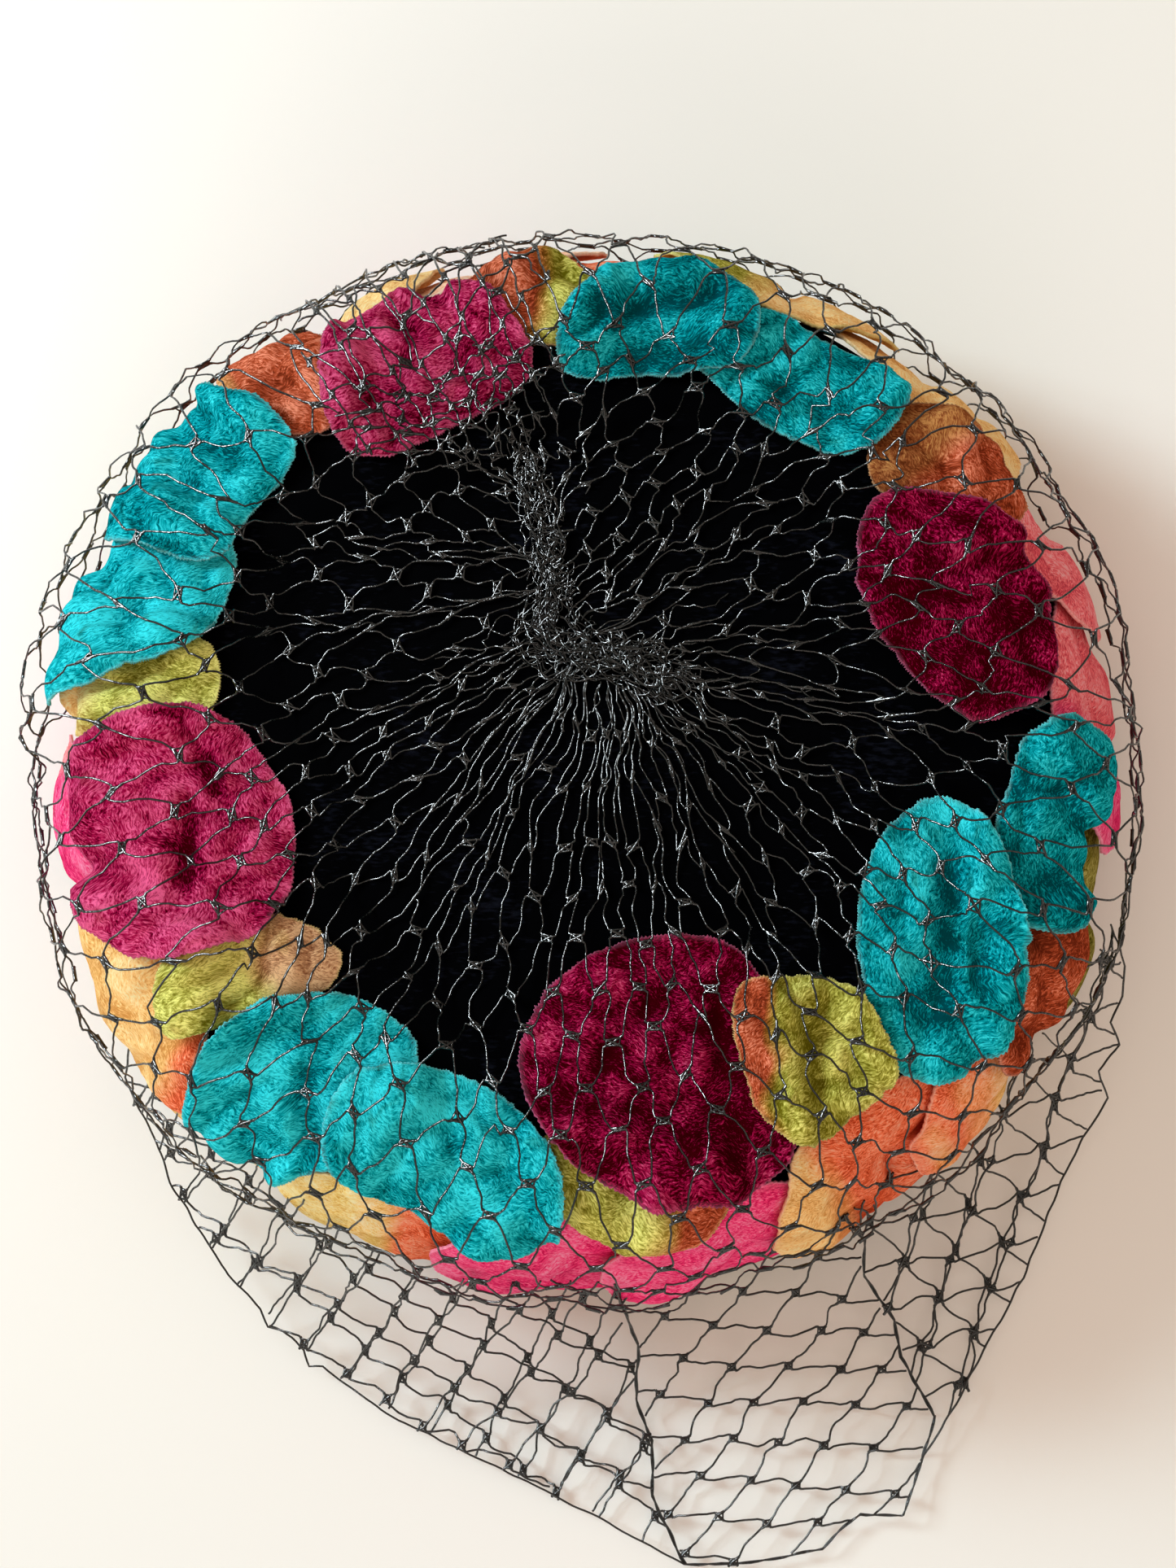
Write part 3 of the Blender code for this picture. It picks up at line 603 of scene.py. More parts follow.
def crumple(x, y, seed):
    """Height of the crumples at a point of the leaf, and how far it lies in a fold, up to 1."""
    height = 0
    for wavelength, high in CRUMPLES:
        at = Vector((x / wavelength / MM, y / wavelength / MM, seed))
        height += high * MM * (0.5 + 0.5 * noise.noise(at))
    wavelength, high, sharp = PUFFS
    at = Vector((x / wavelength / MM, y / wavelength / MM, seed + 3))
    puff = min(1, sharp * abs(noise.noise(at)))
    return height + high * MM * puff, (1 - puff) ** 3


def away_from(line, x, y):
    """How far a place is from a line of places."""
    nearest = 1e9
    for (ax, ay), (bx, by) in zip(line, line[1:]):
        run_x, run_y = bx - ax, by - ay
        part = ((x - ax) * run_x + (y - ay) * run_y) / (run_x**2 + run_y**2)
        part = min(max(part, 0), 1)
        nearest = min(nearest, math.hypot(x - ax - run_x * part, y - ay - run_y * part))
    return nearest


def crease_depth(mark, x, y):
    """How deep the leaf's pressed valleys are at a place seen from above."""
    deepest = 0
    for start_x, start_y, end_x, end_y, wide, deep in CREASES.get(mark, ()):
        away = away_from(((start_x, start_y), (end_x, end_y)), x, y)
        deepest = max(deepest, CREASED * deep * MM * math.exp(-((away / wide) ** 2)))
    return deepest


def new_object(name, data):
    """An object in the scene, at its origin."""
    thing = bpy.data.objects.new(name, data)
    bpy.context.scene.collection.objects.link(thing)
    return thing


def new_piece(name, mesh, finish, node):
    """A finished piece of the hat, in the place of one node of the CAD part."""
    piece = new_object(name, mesh)
    mesh.materials.append(finish)
    mesh.shade_smooth()
    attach(piece, "root")
    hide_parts(node)
    return piece


def new_cloth(name, shape, finish, node, thick):
    """A piece of cloth with its outer face drawn, and its thickness put on inwards."""
    shape.normal_update()
    outwards = sum(face.normal.dot(face.calc_center_median() - AXIS) for face in shape.faces)
    if outwards < 0:
        bmesh.ops.reverse_faces(shape, faces=shape.faces)
    mesh = bpy.data.meshes.new(name)
    shape.to_mesh(mesh)
    shape.free()
    piece = new_piece(name, mesh, finish, node)
    wall = piece.modifiers.new("wall", "SOLIDIFY")
    wall.thickness = thick
    wall.offset = -1
    return piece


def make_crown():
    """The turned velvet shell, open below."""
    over, round_edge, down = CROWN_STEPS
    side = CROWN_REACH - TOP_RADIUS - EDGE_LENGTH
    reaches = [TOP_RADIUS * step / over for step in range(over)]
    reaches += [TOP_RADIUS + EDGE_LENGTH * step / round_edge for step in range(round_edge + 1)]
    reaches += [TOP_RADIUS + EDGE_LENGTH + side * step / down for step in range(1, down + 1)]
    shape = bmesh.new()
    profile = [shape.verts.new(over_crown(0, reach, 0)) for reach in reaches]
    for upper, lower in zip(profile, profile[1:]):
        shape.edges.new((upper, lower))
    bmesh.ops.spin(
        shape, geom=shape.verts[:] + shape.edges[:], cent=AXIS, axis=(0, 0, 1),
        angle=2 * math.pi, steps=CROWN_SIDES, use_merge=True,
    )
    bmesh.ops.remove_doubles(shape, verts=shape.verts, dist=0.01 * MM)
    bmesh.ops.recalc_face_normals(shape, faces=shape.faces)
    new_cloth("black_velvet_crown", shape, black_velvet(), "crown", CROWN_WALL)


def black_velvet():
    """Silk velvet, brushed one way: nearly black, with faint woven ribs and dim crushed streaks whose
    sheen is painted into its colour as a lighter grey.
    """
    finish = new_material("black_silk_velvet")
    place = add_node(finish, "ShaderNodeTexCoord")
    ribs = add_node(
        finish, "ShaderNodeMapping",
        {"Vector": place.outputs["Object"], "Scale": (450, 1600, 1000), "Rotation": (0, 0, 0.2)},
    )
    pile = add_node(finish, "ShaderNodeTexNoise", {"Vector": ribs, "Scale": 1.0})
    crush = add_node(
        finish, "ShaderNodeTexNoise",
        {"Vector": place.outputs["Object"], "Scale": 70.0, "Detail": 3.0, "Distortion": 0.6},
    )
    ribs_and_painted_sheen = add_node(finish, "ShaderNodeMath", {0: pile, 1: crush}, operation="MULTIPLY")
    # Painted sheen: the ribs and crushed streaks are coloured a lighter grey than the black pile
    tone = add_node(finish, "ShaderNodeValToRGB", {"Fac": ribs_and_painted_sheen})
    set_stops(tone, (0.3, 0.5), ("#010102", "#10121b"))
    relief = (pile, 0.4, 0.3 * MM)
    return close_material(finish, tone, 0.9, 0.005, relief)


def crushed_velvet(dye, second):
    """Crushed silk velvet: the pile lies in patches, with its sheen painted into the colour: lighter
    where the pile leans to the light, darker where it leans away.
    """
    name = f"{dye}_crushed_velvet" if second == dye else f"{dye}_and_{second}_crushed_velvet"
    if name in bpy.data.materials:
        return bpy.data.materials[name]
    finish = new_material(name)
    # The cloth's map is in mm: patches of 6 mm, with streaks of pile 0.25 mm by 0.8 mm in them
    cloth = add_node(finish, "ShaderNodeUVMap", uv_map="cloth")
    drift = add_node(finish, "ShaderNodeTexNoise", {"Vector": cloth, "Scale": 0.15, "Detail": 3.0})
    warped = add_node(
        finish, "ShaderNodeVectorMath", {0: drift.outputs["Color"], 1: (5, 5, 5), 2: cloth},
        operation="MULTIPLY_ADD",
    )
    patches = add_node(finish, "ShaderNodeTexVoronoi", {"Vector": warped, "Scale": 0.16})
    local = add_node(
        finish, "ShaderNodeVectorMath", {0: warped, 1: patches.outputs["Position"]},
        operation="SUBTRACT",
    )
    chance = add_node(finish, "ShaderNodeSeparateColor", {0: patches.outputs["Color"]})
    turn = add_node(finish, "ShaderNodeMapRange", {"Value": chance, 3: -0.6, 4: 0.6})
    turned = add_node(
        finish, "ShaderNodeVectorRotate", {"Vector": local, "Angle": turn}, rotation_type="Z_AXIS"
    )
    combed = add_node(
        finish, "ShaderNodeVectorMath", {0: turned, 1: (3.4, 1, 1), 2: patches.outputs["Position"]},
        operation="MULTIPLY_ADD",
    )
    pile = add_node(
        finish, "ShaderNodeTexNoise",
        {"Vector": combed, "Scale": 1.25, "Detail": 3.0, "Roughness": 0.7},
    )
    streak = add_node(
        finish, "ShaderNodeMapRange", {"Value": pile, 1: 0.3, 2: 0.7, 3: 0.3, 4: 0.78}
    )
    lay = add_node(finish, "ShaderNodeMapRange", {"Value": chance.outputs[1], 3: -0.06, 4: 0.06})
    soft = add_node(finish, "ShaderNodeTexNoise", {"Vector": warped, "Scale": 0.2, "Detail": 3.0})
    swell = add_node(
        finish, "ShaderNodeMapRange", {"Value": soft, 1: 0.3, 2: 0.7, 3: -0.08, 4: 0.08}
    )
    # The leaf's painted light and shade, with its pile's broad patches, added to the pile's tone
    lean = add_node(finish, "ShaderNodeAttribute", attribute_name="pile_blot_and_painted_light")
    # The pile's tone: its streaks and patches, with the leaf's painted light and shade added; its ends
    # pick the painted shade and painted sheen
    bright = streak
    for more in (lay, swell, lean.outputs["Fac"]):
        bright = add_node(finish, "ShaderNodeMath", {0: bright, 1: more})
    ramps = []
    for colours in (DYES_AND_PAINTED_SHEEN[dye], DYES_AND_PAINTED_SHEEN[second]):
        ramp = add_node(finish, "ShaderNodeValToRGB", {"Fac": bright})
        set_stops(ramp, PILE_TONES, colours)
        ramps.append(ramp)
    dyed = add_node(finish, "ShaderNodeAttribute", attribute_name="dye")
    colour = add_node(
        finish, "ShaderNodeMix", {0: dyed.outputs["Fac"], 6: ramps[0], 7: ramps[1]},
        data_type="RGBA",
    )
    raw = add_node(finish, "ShaderNodeAttribute", attribute_name="raw_edge")
    edged = add_node(
        finish, "ShaderNodeMix",
        {0: raw.outputs["Fac"], 6: colour.outputs[2], 7: linear(DYES_AND_PAINTED_SHEEN[dye][3])}, data_type="RGBA",
    )
    relief = (bright, 0.5, 0.5 * MM)
    return close_material(finish, edged.outputs[2], 0.8, 0.0, relief)


def yarn():
    """Twisted nylon yarn: nearly black with a green cast, and glossy enough to glint grey."""
    finish = new_material("black_nylon_yarn")
    place = add_node(finish, "ShaderNodeTexCoord")
    twist = add_node(
        finish, "ShaderNodeTexNoise",
        {"Vector": place.outputs["Object"], "Scale": 1400.0, "Detail": 1.0},
    )
    tone = add_node(finish, "ShaderNodeValToRGB", {"Fac": twist})
    set_stops(tone, (0.45, 0.7), ("#030505", "#141c1b"))
    relief = (twist, 1.0, 0.2 * MM)
    return close_material(finish, tone, 0.22, 0.6, relief)


def draw_fibres(shape, leaf, flat, raw_edge):
    """Draws a cut edge out into the short pile fibres that stand past it."""
    rim = [edge for edge in shape.edges if edge.is_boundary]
    split = bmesh.ops.subdivide_edges(shape, edges=rim, cuts=1)["geom_inner"]
    shape.verts.index_update()
    long_ones = {item.index for item in split if isinstance(item, bmesh.types.BMVert)}
    rim = [edge for edge in shape.edges if edge.is_boundary]
    drawn = bmesh.ops.extrude_edge_only(shape, edges=rim)["geom"]
    tips = {item for item in drawn if isinstance(item, bmesh.types.BMVert)}
    for tip in tips:
        roots = [edge.other_vert(tip) for edge in tip.link_edges if not edge.is_boundary]
        root = roots[0]
        across, along, height = root[flat]
        out = math.hypot(across, along)
        chance = noise.noise_vector(root.co / FIBRE_LEAN[0])
        share = 0.5 + 0.5 * chance.x if root.index in long_ones else 0
        length = FIBRES[0] + (FIBRES[1] - FIBRES[0]) * share
        across += across / out * length + chance.y * FIBRE_LEAN[1] * length
        along += along / out * length + chance.z * FIBRE_LEAN[1] * length
        tip[flat] = (across, along, height)
        tip[raw_edge] = RAW[1]
        tip.co = over_crown(*leaf.place(across, along), height)


def make_leaf(leaf, covering, colour, faces):
    """One leaf of crushed velvet, laid on what is already sewn to the crown."""
    node = leaf.node
    seat = covering.bridged(LEAF_REACH)
    dye, second, dye_x, dye_y, dye_way = TWO_DYES.get(leaf.mark, (colour, colour, 0, 0, 0))
    dye_way = math.radians(dye_way)
    shape = bmesh.new()
    bmesh.ops.create_grid(shape, x_segments=faces, y_segments=faces, size=1)
    cloth = shape.loops.layers.uv.new("cloth")
    dyed = shape.verts.layers.float.new("dye")
    raw_edge = shape.verts.layers.float.new("raw_edge")
    pile_blot_and_painted_light = shape.verts.layers.float.new("pile_blot_and_painted_light")
    flat = shape.verts.layers.float_vector.new("flat")
    crumpled = 1 if node.startswith("top") else SIDE_CRUMPLE
    heights = np.zeros((faces + 1, faces + 1))
    for corner in shape.verts:
        column = round((corner.co.x + 1) / 2 * faces)
        row = round((corner.co.y + 1) / 2 * faces)
        # A square grid is pushed out to a round one, and then to the leaf's outline
        round_x = corner.co.x * math.sqrt(1 - corner.co.y**2 / 2)
        round_y = corner.co.y * math.sqrt(1 - corner.co.x**2 / 2)
        share = math.hypot(round_x, round_y)
        angle = math.degrees(math.atan2(round_y, round_x)) % 360
        edge = float(np.interp(angle, range(361), leaf.edge))
        out = towards(math.radians(angle))
        at_edge = column in (0, faces) or row in (0, faces)
        if at_edge:
            edge += FRAY[1] * noise.noise(out * edge / FRAY[0] + Vector((0, 0, leaf.seed)))
        across, along = out.x * edge * share, out.y * edge * share
        azimuth, reach = leaf.place(across, along)
        below_middle = max(0, (reach - leaf.reach) / (leaf.length / 2))
        seen_x = crown_point(reach)[0] * math.cos(azimuth) / MM
        seen_y = crown_point(reach)[0] * math.sin(azimuth) / MM
        crumples, fold = crumple(across, along, leaf.seed)
        crease = crease_depth(leaf.mark, seen_x, seen_y)
        puffed = (LEAF_PUFF + crumples * crumpled) * (1 - PUFF_EDGE * share**6)
        puffed = max(0, puffed - crease)
        height = covering.read(seat, azimuth, reach) + LEAF_GAP + LEAF_WALL
        height += puffed + leaf.lift * below_middle**LIFT_CURVE
        blot = noise.noise(Vector((seen_x / BLOT[0], seen_y / BLOT[0], leaf.seed)))
        beyond = (seen_x - dye_x) * math.cos(dye_way) + (seen_y - dye_y) * math.sin(dye_way)
        if second != dye:
            corner[dyed] = min(1, max(0, 0.5 + beyond / DYE_RUN[0] + DYE_RUN[1] * blot))
        corner[raw_edge] = RAW[0] if at_edge else 0
        # Painted shade: the pile's tone darkens in the folds and pressed creases
        shade = PAINTED_FOLD_SHADE * fold * crumpled + PAINTED_CREASE_SHADE * crease / MM
        # Painted light: the leaf's own painted lightening or darkening and its pile's broad patches,
        # less the painted shade in folds and creases
        corner[pile_blot_and_painted_light] = PAINTED_LIGHT_BY_LEAF.get(leaf.mark, 0) + BLOT[1] * blot - shade
        heights[row, column] = height
        corner[flat] = (across, along, height)
        corner.co = over_crown(azimuth, reach, height)
    # The flat cloth is as large as the laid one, less what the crumples take up
    area = CRUMPLED_AREA * sum(face.calc_area() for face in shape.faces)
    draw_fibres(shape, leaf, flat, raw_edge)
    for face in shape.faces:
        for loop in face.loops:
            loop[cloth].uv = loop.vert[flat].xy / MM
    finish = crushed_velvet(dye, second)
    piece = new_cloth(f"velvet_{node}", shape, finish, node, LEAF_WALL)
    covering.lay(leaf, heights)
    wide, long, cut_area = leaf.size()


def make_leaves(covering):
    rings = (
        ("lower", 20, LOWER_LEAVES),
        ("upper", 28, UPPER_LEAVES),
        ("top", 46, TOP_LEAVES),
    )
    for ring, faces, table in rings:
        sewn = [
            (number, Leaf(f"{ring}_leaf_{number:02d}_{colour}", *sizes), colour)
            for number, (colour, *sizes) in enumerate(table, start=1)
        ]
        if ring == "top":
            sewn.sort(key=lambda one: one[0] + 1.5 * (one[0] in SEWN_LATE))
        for number, leaf, colour in sewn:
            make_leaf(leaf, covering, colour, faces)


def make_threads(node, paths, finish):
    """A piece of the veil, of round threads along these paths: each is (points, radius, closed)."""
    name = f"net_{node}"
    curve = bpy.data.curves.new(name, "CURVE")
    curve.dimensions = "3D"
    curve.bevel_depth = 1
    curve.bevel_resolution = 0
    curve.use_fill_caps = True
    for points, radius, closed in paths:
        spline = curve.splines.new("POLY")
        spline.points.add(len(points) - 1)
        for at, point in zip(spline.points, points):
            at.co = (*point, 1)
            at.radius = radius
        spline.use_cyclic_u = closed
    drawn = new_object(name, curve)
    graph = bpy.context.evaluated_depsgraph_get()
    mesh = bpy.data.meshes.new_from_object(drawn.evaluated_get(graph))
    bpy.data.objects.remove(drawn)
    mesh.name = name
    mesh.materials.clear()
    new_piece(name, mesh, finish, node)


def waver(point, high, long, seed):
    """A small steady wander of a thread about its path."""
    at = Vector(point) / long
    at.z += seed
    return Vector(point) + noise.noise_vector(at) * high


def layered(at, noises):
    """The sum of noises of different fineness and height."""
    return sum(high * noise.noise(at * fine) for fine, high in noises)


def strand(place, start, end, seed):
    """A twisted thread between two places of the net, a little slack."""
    points = []
    for step in range(STRAND_PIECES + 1):
        part = step / STRAND_PIECES
        slack = math.sin(math.pi * part)
        bowed = waver(place(*part_way(start, end, part)), SLACK * slack, 7 * MM, seed)
        points.append(waver(bowed, *TWIST, seed + 5))
    return points, THREAD, False


def knot(corners, seed):
    """The small tangle where strands cross: a tight loop with an arm to each strand."""
    arms = [waver(at, *TWIST, seed + 5) for at in corners]
    middle = sum(arms, Vector()) / 4 + Vector((0, 0, 0.25 * MM))
    loop = waver(middle, 0.6 * MM, 0.8 * MM, seed + 9)
    ring = [middle.lerp(arms[k], 0.72) for k in (0, 1, 3, 2)]
    return [
        ([arms[0], middle, arms[3]], KNOT_THREAD, False),
        ([arms[1], loop, arms[2]], KNOT_THREAD, False),
        (ring, KNOT_THREAD, True),
    ]


def round_net_paths(place, columns, half_rows, seed):
    """Threads and knots of a net that closes round the hat: place(column, half row) is a point."""
    paths = []
    half_columns = 2 * columns
    sizes = {}
    for row in range(half_rows + 1):
        for column in range(row % 2, half_columns, 2):
            across = (place(column / 2 + 0.2, row) - place(column / 2 - 0.2, row)).length / 0.4
            inner, outer = max(row - 0.2, 0), min(row + 0.2, half_rows)
            along = (place(column / 2, outer) - place(column / 2, inner)).length / (outer - inner)
            sizes[column, row] = (
                min(0.3, KNOT[0] / max(across, 1 * MM)), min(0.3, KNOT[1] / max(along, 1 * MM)),
            )

    def corner(column, row, side, end):
        across, along = sizes[column % half_columns, row]
        if row < FIRST_KNOTS:
            across, along = 0.08 * across, 0
        return column / 2 + side * across, row + end * along

    for column, row in sizes:
        if row < half_rows:
            for side in (-1, 1):
                start = corner(column, row, side, 1)
                end = corner(column + side, row + 1, -side, -1)
                paths.append(strand(place, start, end, seed))
        if row >= FIRST_KNOTS:
            sides = ((-1, -1), (1, -1), (-1, 1), (1, 1))
            paths += knot([place(*corner(column, row, *side)) for side in sides], seed)
    return paths


def inside_outline(outline, x, y):
    """Whether a place lies inside a closed outline."""
    inside = False
    for (ax, ay), (bx, by) in zip(outline, (*outline[1:], outline[0])):
        if (ay > y) != (by > y) and x < ax + (y - ay) / (by - ay) * (bx - ax):
            inside = not inside
    return inside


def flat_net_paths(place, outline, start, first, second, seed):
    """Threads and knots of a straight stretch of net, cut at an outline: place(x, y) is a point."""
    paths = []

    def spot(i, j):
        x = start[0] + i * first[0] + j * second[0]
        y = start[1] + i * first[1] + j * second[1]
        drift = Vector()
        for long, far in FLAT_DRIFTS:
            drift += noise.noise_vector(Vector((x / long, y / long, seed))) * far
        return x + drift.x, y + drift.y

    def corner(middle, side, end):
        x = middle[0] + FLAT_KNOT * (side * first[0] + end * second[0])
        return x, middle[1] + FLAT_KNOT * (side * first[1] + end * second[1])

    for i in range(-FLAT_SPAN, FLAT_SPAN + 1):
        for j in range(-FLAT_SPAN, FLAT_SPAN + 1):
            here = spot(i, j)
            known = inside_outline(outline, *here)
            for (over, down), (side, end) in (((1, 0), (1, 0.6)), ((0, 1), (-0.2, 1))):
                there = spot(i + over, j + down)
                whole = known and inside_outline(outline, *there)
                if not (known or inside_outline(outline, *there)):
                    continue
                steps, bow = (STRAND_PIECES, SLACK) if whole else (3 * STRAND_PIECES, 0.3 * MM)
                ends = corner(here, side, end), corner(there, -side, -end)
                points = []
                for step in range(steps + 1):
                    part = step / steps
                    x, y = part_way(*ends, part)
                    if inside_outline(outline, x, y):
                        sag = math.sin(math.pi * part)
                        bowed = waver(place(x, y), bow * sag, 8 * MM, seed + side)
                        points.append(waver(bowed, *TWIST, seed + 5))
                if len(points) > 1:
                    paths.append((points, FLAT_THREAD, False))
            if known:
                sides = ((-1, -0.6), (0.2, -1), (-0.2, 1), (1, 0.6))
                paths += knot([place(*corner(here, *side)) for side in sides], seed)
    return paths


def between(table, value):
    """A table's other columns at a value of its first column."""
    for low, high in zip(table, table[1:]):
        if low[0] <= value <= high[0]:
            part = (value - low[0]) / (high[0] - low[0])
            return part_way(low[1:], high[1:], part)
    return list(table[-1][1:] if value > table[-1][0] else table[0][1:])


def round_hat(table, azimuth):
    """A table's other columns at an azimuth in radians."""
    return between(table, (math.degrees(azimuth) + 180) % 360 - 180)


def row_reach(azimuth, row):
    """Reach of a half row of the round net at an azimuth."""
    low = min(int(row), len(VEIL_ROWS) - 2)
    front, back = (
        (VEIL_ROWS[low][k] * (1 - row + low) + VEIL_ROWS[low + 1][k] * (row - low)) * MM
        for k in (0, 1)
    )
    frontness = 0.5 - 0.5 * math.tanh(FRONT_TURN * (math.sin(azimuth) + FRONT_EDGE))
    return back + (front - back) * frontness


class Veil:
    """How the net lies over the dressed crown."""

    def __init__(self, covering):
        self.covering = covering
        self.hold = covering.bridged(VEIL_HOLD)

    def over(self, azimuth, reach, gap):
        height = self.covering.read(self.hold, azimuth % (2 * math.pi), reach)
        peak, spread = BILLOW_REACH
        billow = math.exp(-(((reach - peak) / spread) ** 2))
        out = towards(azimuth) * 1.6
        billow *= (round_hat(VEIL_BILLOW, azimuth)[0] + 1.6 * noise.noise(out * 1.6)) * MM
        return over_crown(azimuth, reach, height + billow + gap)

    def above(self, x, y, gap):
        """The point over a place seen from above, in mm from the crown's axis."""
        radius = math.hypot(x, y) * MM
        reach = radius
        if radius > TOP_RADIUS:
            bend = math.asin(min(1, (radius - TOP_RADIUS) / EDGE_RADIUS))
            reach = TOP_RADIUS + EDGE_RADIUS * bend
        return self.over(math.atan2(y, x), reach, gap)

    def place(self, column, row):
        """The point of the round net at a column and half row."""
        azimuth = 2 * math.pi * column / VEIL_COLUMNS
        out = towards(azimuth)
        # Neighbouring knots don't keep to rings
        row += layered(out, KNOT_SLIPS) * min(row, 2) / 2 * max(0, 1 - row / 16)
        row = min(max(row, 0), len(VEIL_ROWS) - 1)
        reach = row_reach(azimuth, row)
        # The threads run together in bunches near the gather
        azimuth += layered(out, BUNCHES) * math.exp(-reach / (45 * MM))
        drift = Vector()
        for long, far in NET_DRIFTS:
            drift += noise.noise_vector(out * (reach + 20 * MM) / (long * MM)) * far
        if reach >= TOP_RADIUS:
            return self.over(
                azimuth + drift.x * MM / reach, reach + drift.y * MM, VEIL_GAP + THREAD
            )
        gather_x, gather_y = round_hat(GATHER, azimuth)
        inner = 1 - reach / TOP_RADIUS
        x = gather_x * inner + reach / MM * math.cos(azimuth) + drift.x
        y = gather_y * inner + reach / MM * math.sin(azimuth) + drift.y
        return self.above(x, y, VEIL_GAP + THREAD)


def make_veil_over_crown(veil, finish):
    """The net from the gather over the whole hat."""
    paths = round_net_paths(veil.place, VEIL_COLUMNS, len(VEIL_ROWS) - 1, 1)
    paths += flat_net_paths(
        lambda x, y: veil.above(x, y, VEIL_GAP + 3 * THREAD), LEFT_FOLD,
        (-30, 66), (4.3, 2.9), (-2.4, 4.6), 4,
    )
    make_threads("veil_over_crown", paths, finish)


def along_roll(share):
    """(x, y, radius) in mm at a share of the gather's seam."""
    along = min(max(share, 0), 1) * (len(GATHER_ROLL) - 1)
    low = min(int(along), len(GATHER_ROLL) - 2)
    return part_way(GATHER_ROLL[low], GATHER_ROLL[low + 1], along - low)


def spread(number, stride):
    """A share from 0 to 1 that spreads evenly over numbered threads."""
    return (number * stride) % 1


def make_gather(veil, finish):
    """The bunched seam: many layers of net drawn together along a curved line."""
    paths = []
    count, points_each = TANGLED_THREADS
    for thread in range(count):
        start = spread(thread, 0.618) ** 0.6
        side = 2 * spread(thread, 0.37) - 1
        run = 0.1 + 0.25 * spread(thread, 0.71)
        loop = 0.6 + 2.2 * spread(thread, 0.23) ** 2
        turns = 4 + 12 * spread(thread, 0.53)
        points = []
        for step in range(points_each):
            part = step / (points_each - 1)
            x, y, half = along_roll(start + run * (part - 0.5))
            curl = thread + turns * part
            x += half * side * abs(side) + loop * math.cos(curl)
            y += half * side * abs(side) * 0.6 + loop * math.sin(curl)
            lump = half * (1 - abs(side)) * spread(thread, 0.29)
            at = veil.above(x, y, (0.5 + 0.7 * lump) * MM)
            points.append(waver(at, 1.8 * MM, 3 * MM, thread))
        paths.append((points, 0.85 * THREAD, False))
    count, points_each = LOOSE_THREADS
    for thread in range(count):
        column = thread * VEIL_COLUMNS / count
        end = 0.8 + 2.2 * spread(thread, 0.618) ** 2
        points = []
        for step in range(points_each):
            part = step / (points_each - 1)
            at = veil.place(column + 0.7 * noise.noise(Vector((thread, part * 2, 0))), end * part)
            at += Vector((0, 0, 0.6 * MM))
            points.append(waver(waver(at, 1.8 * MM, 6 * MM, thread), 0.6 * MM, 2 * MM, thread))
        paths.append((points, 0.8 * THREAD, False))
    make_threads("veil_gather", paths, finish)


def fall_point(x, y, height):
    """The point of the loose stretch over a place on the surface, in mm from the crown's axis."""
    away = away_from(LEFT_TOP + MIDDLE_TOP[1:] + RIGHT_TOP[1:], x, y) * MM
    rise = FALL_RISE * max(0, 1 - away / FALL_LANDS) ** FALL_DROP
    high, long = FALL_RIPPLE
    ripple = high * (1 + noise.noise(Vector((x / long, y / long, 7))))
    z = height * MM + rise + ripple
    (lean_x, lean_y), lean_height = FALL_LEAN
    back = z / MM / lean_height
    return AXIS + Vector(((x + (lean_x - x) * back) * MM, (y + (lean_y - y) * back) * MM, z))


def cord(line, radius, height, strands, seed):
    """Strands twisted together along a line on the surface."""
    fine = []
    for (ax, ay), (bx, by) in zip(line, line[1:]):
        steps = max(2, round(math.hypot(bx - ax, by - ay) / CORD_STEP))
        fine += [(ax + (bx - ax) * k / steps, ay + (by - ay) * k / steps) for k in range(steps)]
    fine.append(line[-1])
    paths = []
    for one in range(strands):
        path = []
        for number, (x, y) in enumerate(fine):
            turn = number * CORD_TWIST + one * 2 * math.pi / strands
            swing = 0.8 * radius * (strands > 1)
            at = fall_point(x, y, height)
            at += Vector((swing * math.cos(turn), swing * math.sin(turn), 0))
            path.append(waver(at, 0.4 * MM, 4 * MM, seed))
        paths.append((path, radius, False))
    return paths


def make_front_fall(finish):
    """The loose stretch of net that comes down in front and lies on the surface."""
    outlines = {
        "left": LEFT_TOP + LEFT_THREAD[1:] + LEFT_HEM[::-1],
        "middle": MIDDLE_TOP + RIGHT_THREAD[1:] + FRONT_HEM[::-1][1:] + LEFT_THREAD[::-1][1:-1],
        "right": RIGHT_TOP + RIGHT_HEM[::-1] + FRONT_HEM[-2:] + RIGHT_THREAD[::-1][1:-1],
    }
    paths = []
    for number, (side, start, first, second, height) in enumerate(FALL_LAYERS):
        paths += flat_net_paths(
            lambda x, y: fall_point(x, y, height), outlines[side], start, first, second, number + 1
        )
    for line, radius, strands, height in (
        # line, radius mm, strands, height mm
        (LEFT_HEM, 0.2, 1, 2.2),
        (FRONT_HEM, 0.17, 2, 1.6),
        (RIGHT_HEM, 0.2, 1, 2.2),
        (LEFT_THREAD, 0.2, 2, 2.2),
        (RIGHT_THREAD, 0.2, 2, 2.2),
    ):
        paths += cord(line, radius * MM, height, strands, strands + len(line))
    make_threads("veil_front_fall", paths, finish)


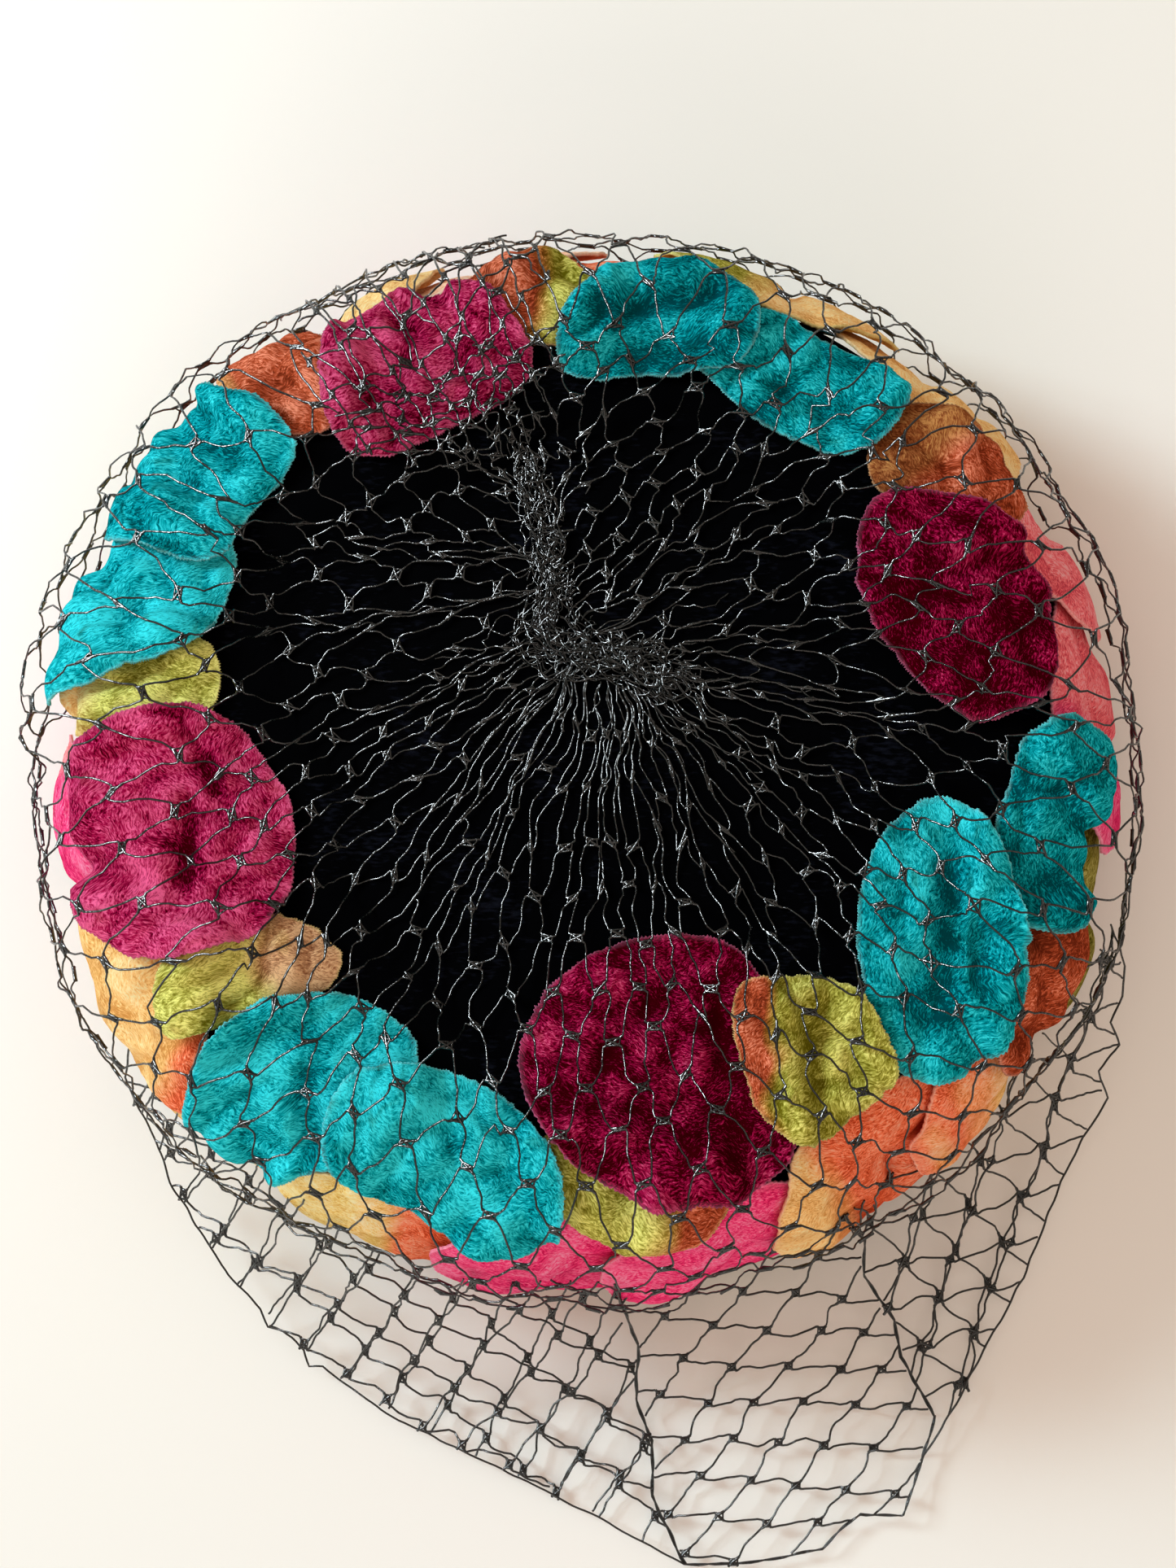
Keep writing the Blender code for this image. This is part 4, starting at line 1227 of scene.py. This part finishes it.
def make_floor():
    shape = bmesh.new()
    bmesh.ops.create_grid(shape, x_segments=2, y_segments=2, size=1.5)
    mesh = bpy.data.meshes.new("pale_surface")
    shape.to_mesh(mesh)
    shape.free()
    mesh.materials.append(close_material(new_material("painted_board"), linear("#efece6"), 0.55, 0.5))
    new_object("pale_surface", mesh)


def add_light(name, place, aim, size, power, colour):
    lamp = bpy.data.lights.new(name, "AREA")
    lamp.shape = "RECTANGLE"
    lamp.size, lamp.size_y = size
    lamp.energy = power
    lamp.color = linear(colour)[:3]
    light = new_object(name, lamp)
    light.location = place
    light.rotation_euler = (Vector(aim) - Vector(place)).to_track_quat("-Z", "Y").to_euler()
    return light


def make_light():
    add_light("window", AXIS + Vector((-3.05, 1.2, 2.1)), AXIS, (1, 1), 134, "#cdebf6")
    glints = add_light(
        "window_glints", AXIS + Vector((-0.42, 0.26, 0.44)), AXIS, (0.3, 0.3), 18, "#eef6fa"
    )
    glints.visible_diffuse = False  # it only shows in the glossy yarn
    add_light("room", AXIS + Vector((0.2, 0.1, 2.2)), AXIS, (2.4, 2.4), 8, "#fff4e6")
    add_light("near_wall", AXIS + Vector((-0.2, -3, 1.6)), AXIS, (2.4, 2.4), 34, "#fff2ea")
    world = bpy.data.worlds.new("room")
    world.use_nodes = True
    world.node_tree.nodes["Background"].inputs["Color"].default_value = linear("#cab8aa")
    world.node_tree.nodes["Background"].inputs["Strength"].default_value = 0.88
    bpy.context.scene.world = world


def make_camera():
    """Looks down on the hat from a little in front, as the photograph does."""
    tilt = math.radians(8.5)
    aim = AXIS + Vector((-0.4, -3.5, 25)) * MM
    back = 725 * MM
    lens = bpy.data.cameras.new("camera")
    lens.sensor_fit = "VERTICAL"
    lens.sensor_height = 36
    lens.lens = 92.1
    camera = new_object("camera", lens)
    camera.location = aim + Vector((0, -math.sin(tilt), math.cos(tilt))) * back
    camera.rotation_euler = (tilt, 0, 0)
    bpy.context.scene.camera = camera


def main():
    noise.seed_set(11)  # or noise_vector would take another seed from the clock at each run
    make_camera()
    make_floor()
    make_light()
    bpy.context.scene.view_settings.view_transform = "Standard"
    make_crown()
    covering = Covering()
    make_leaves(covering)
    thread = yarn()
    veil = Veil(covering)
    make_veil_over_crown(veil, thread)
    make_gather(veil, thread)
    make_front_fall(thread)


main()
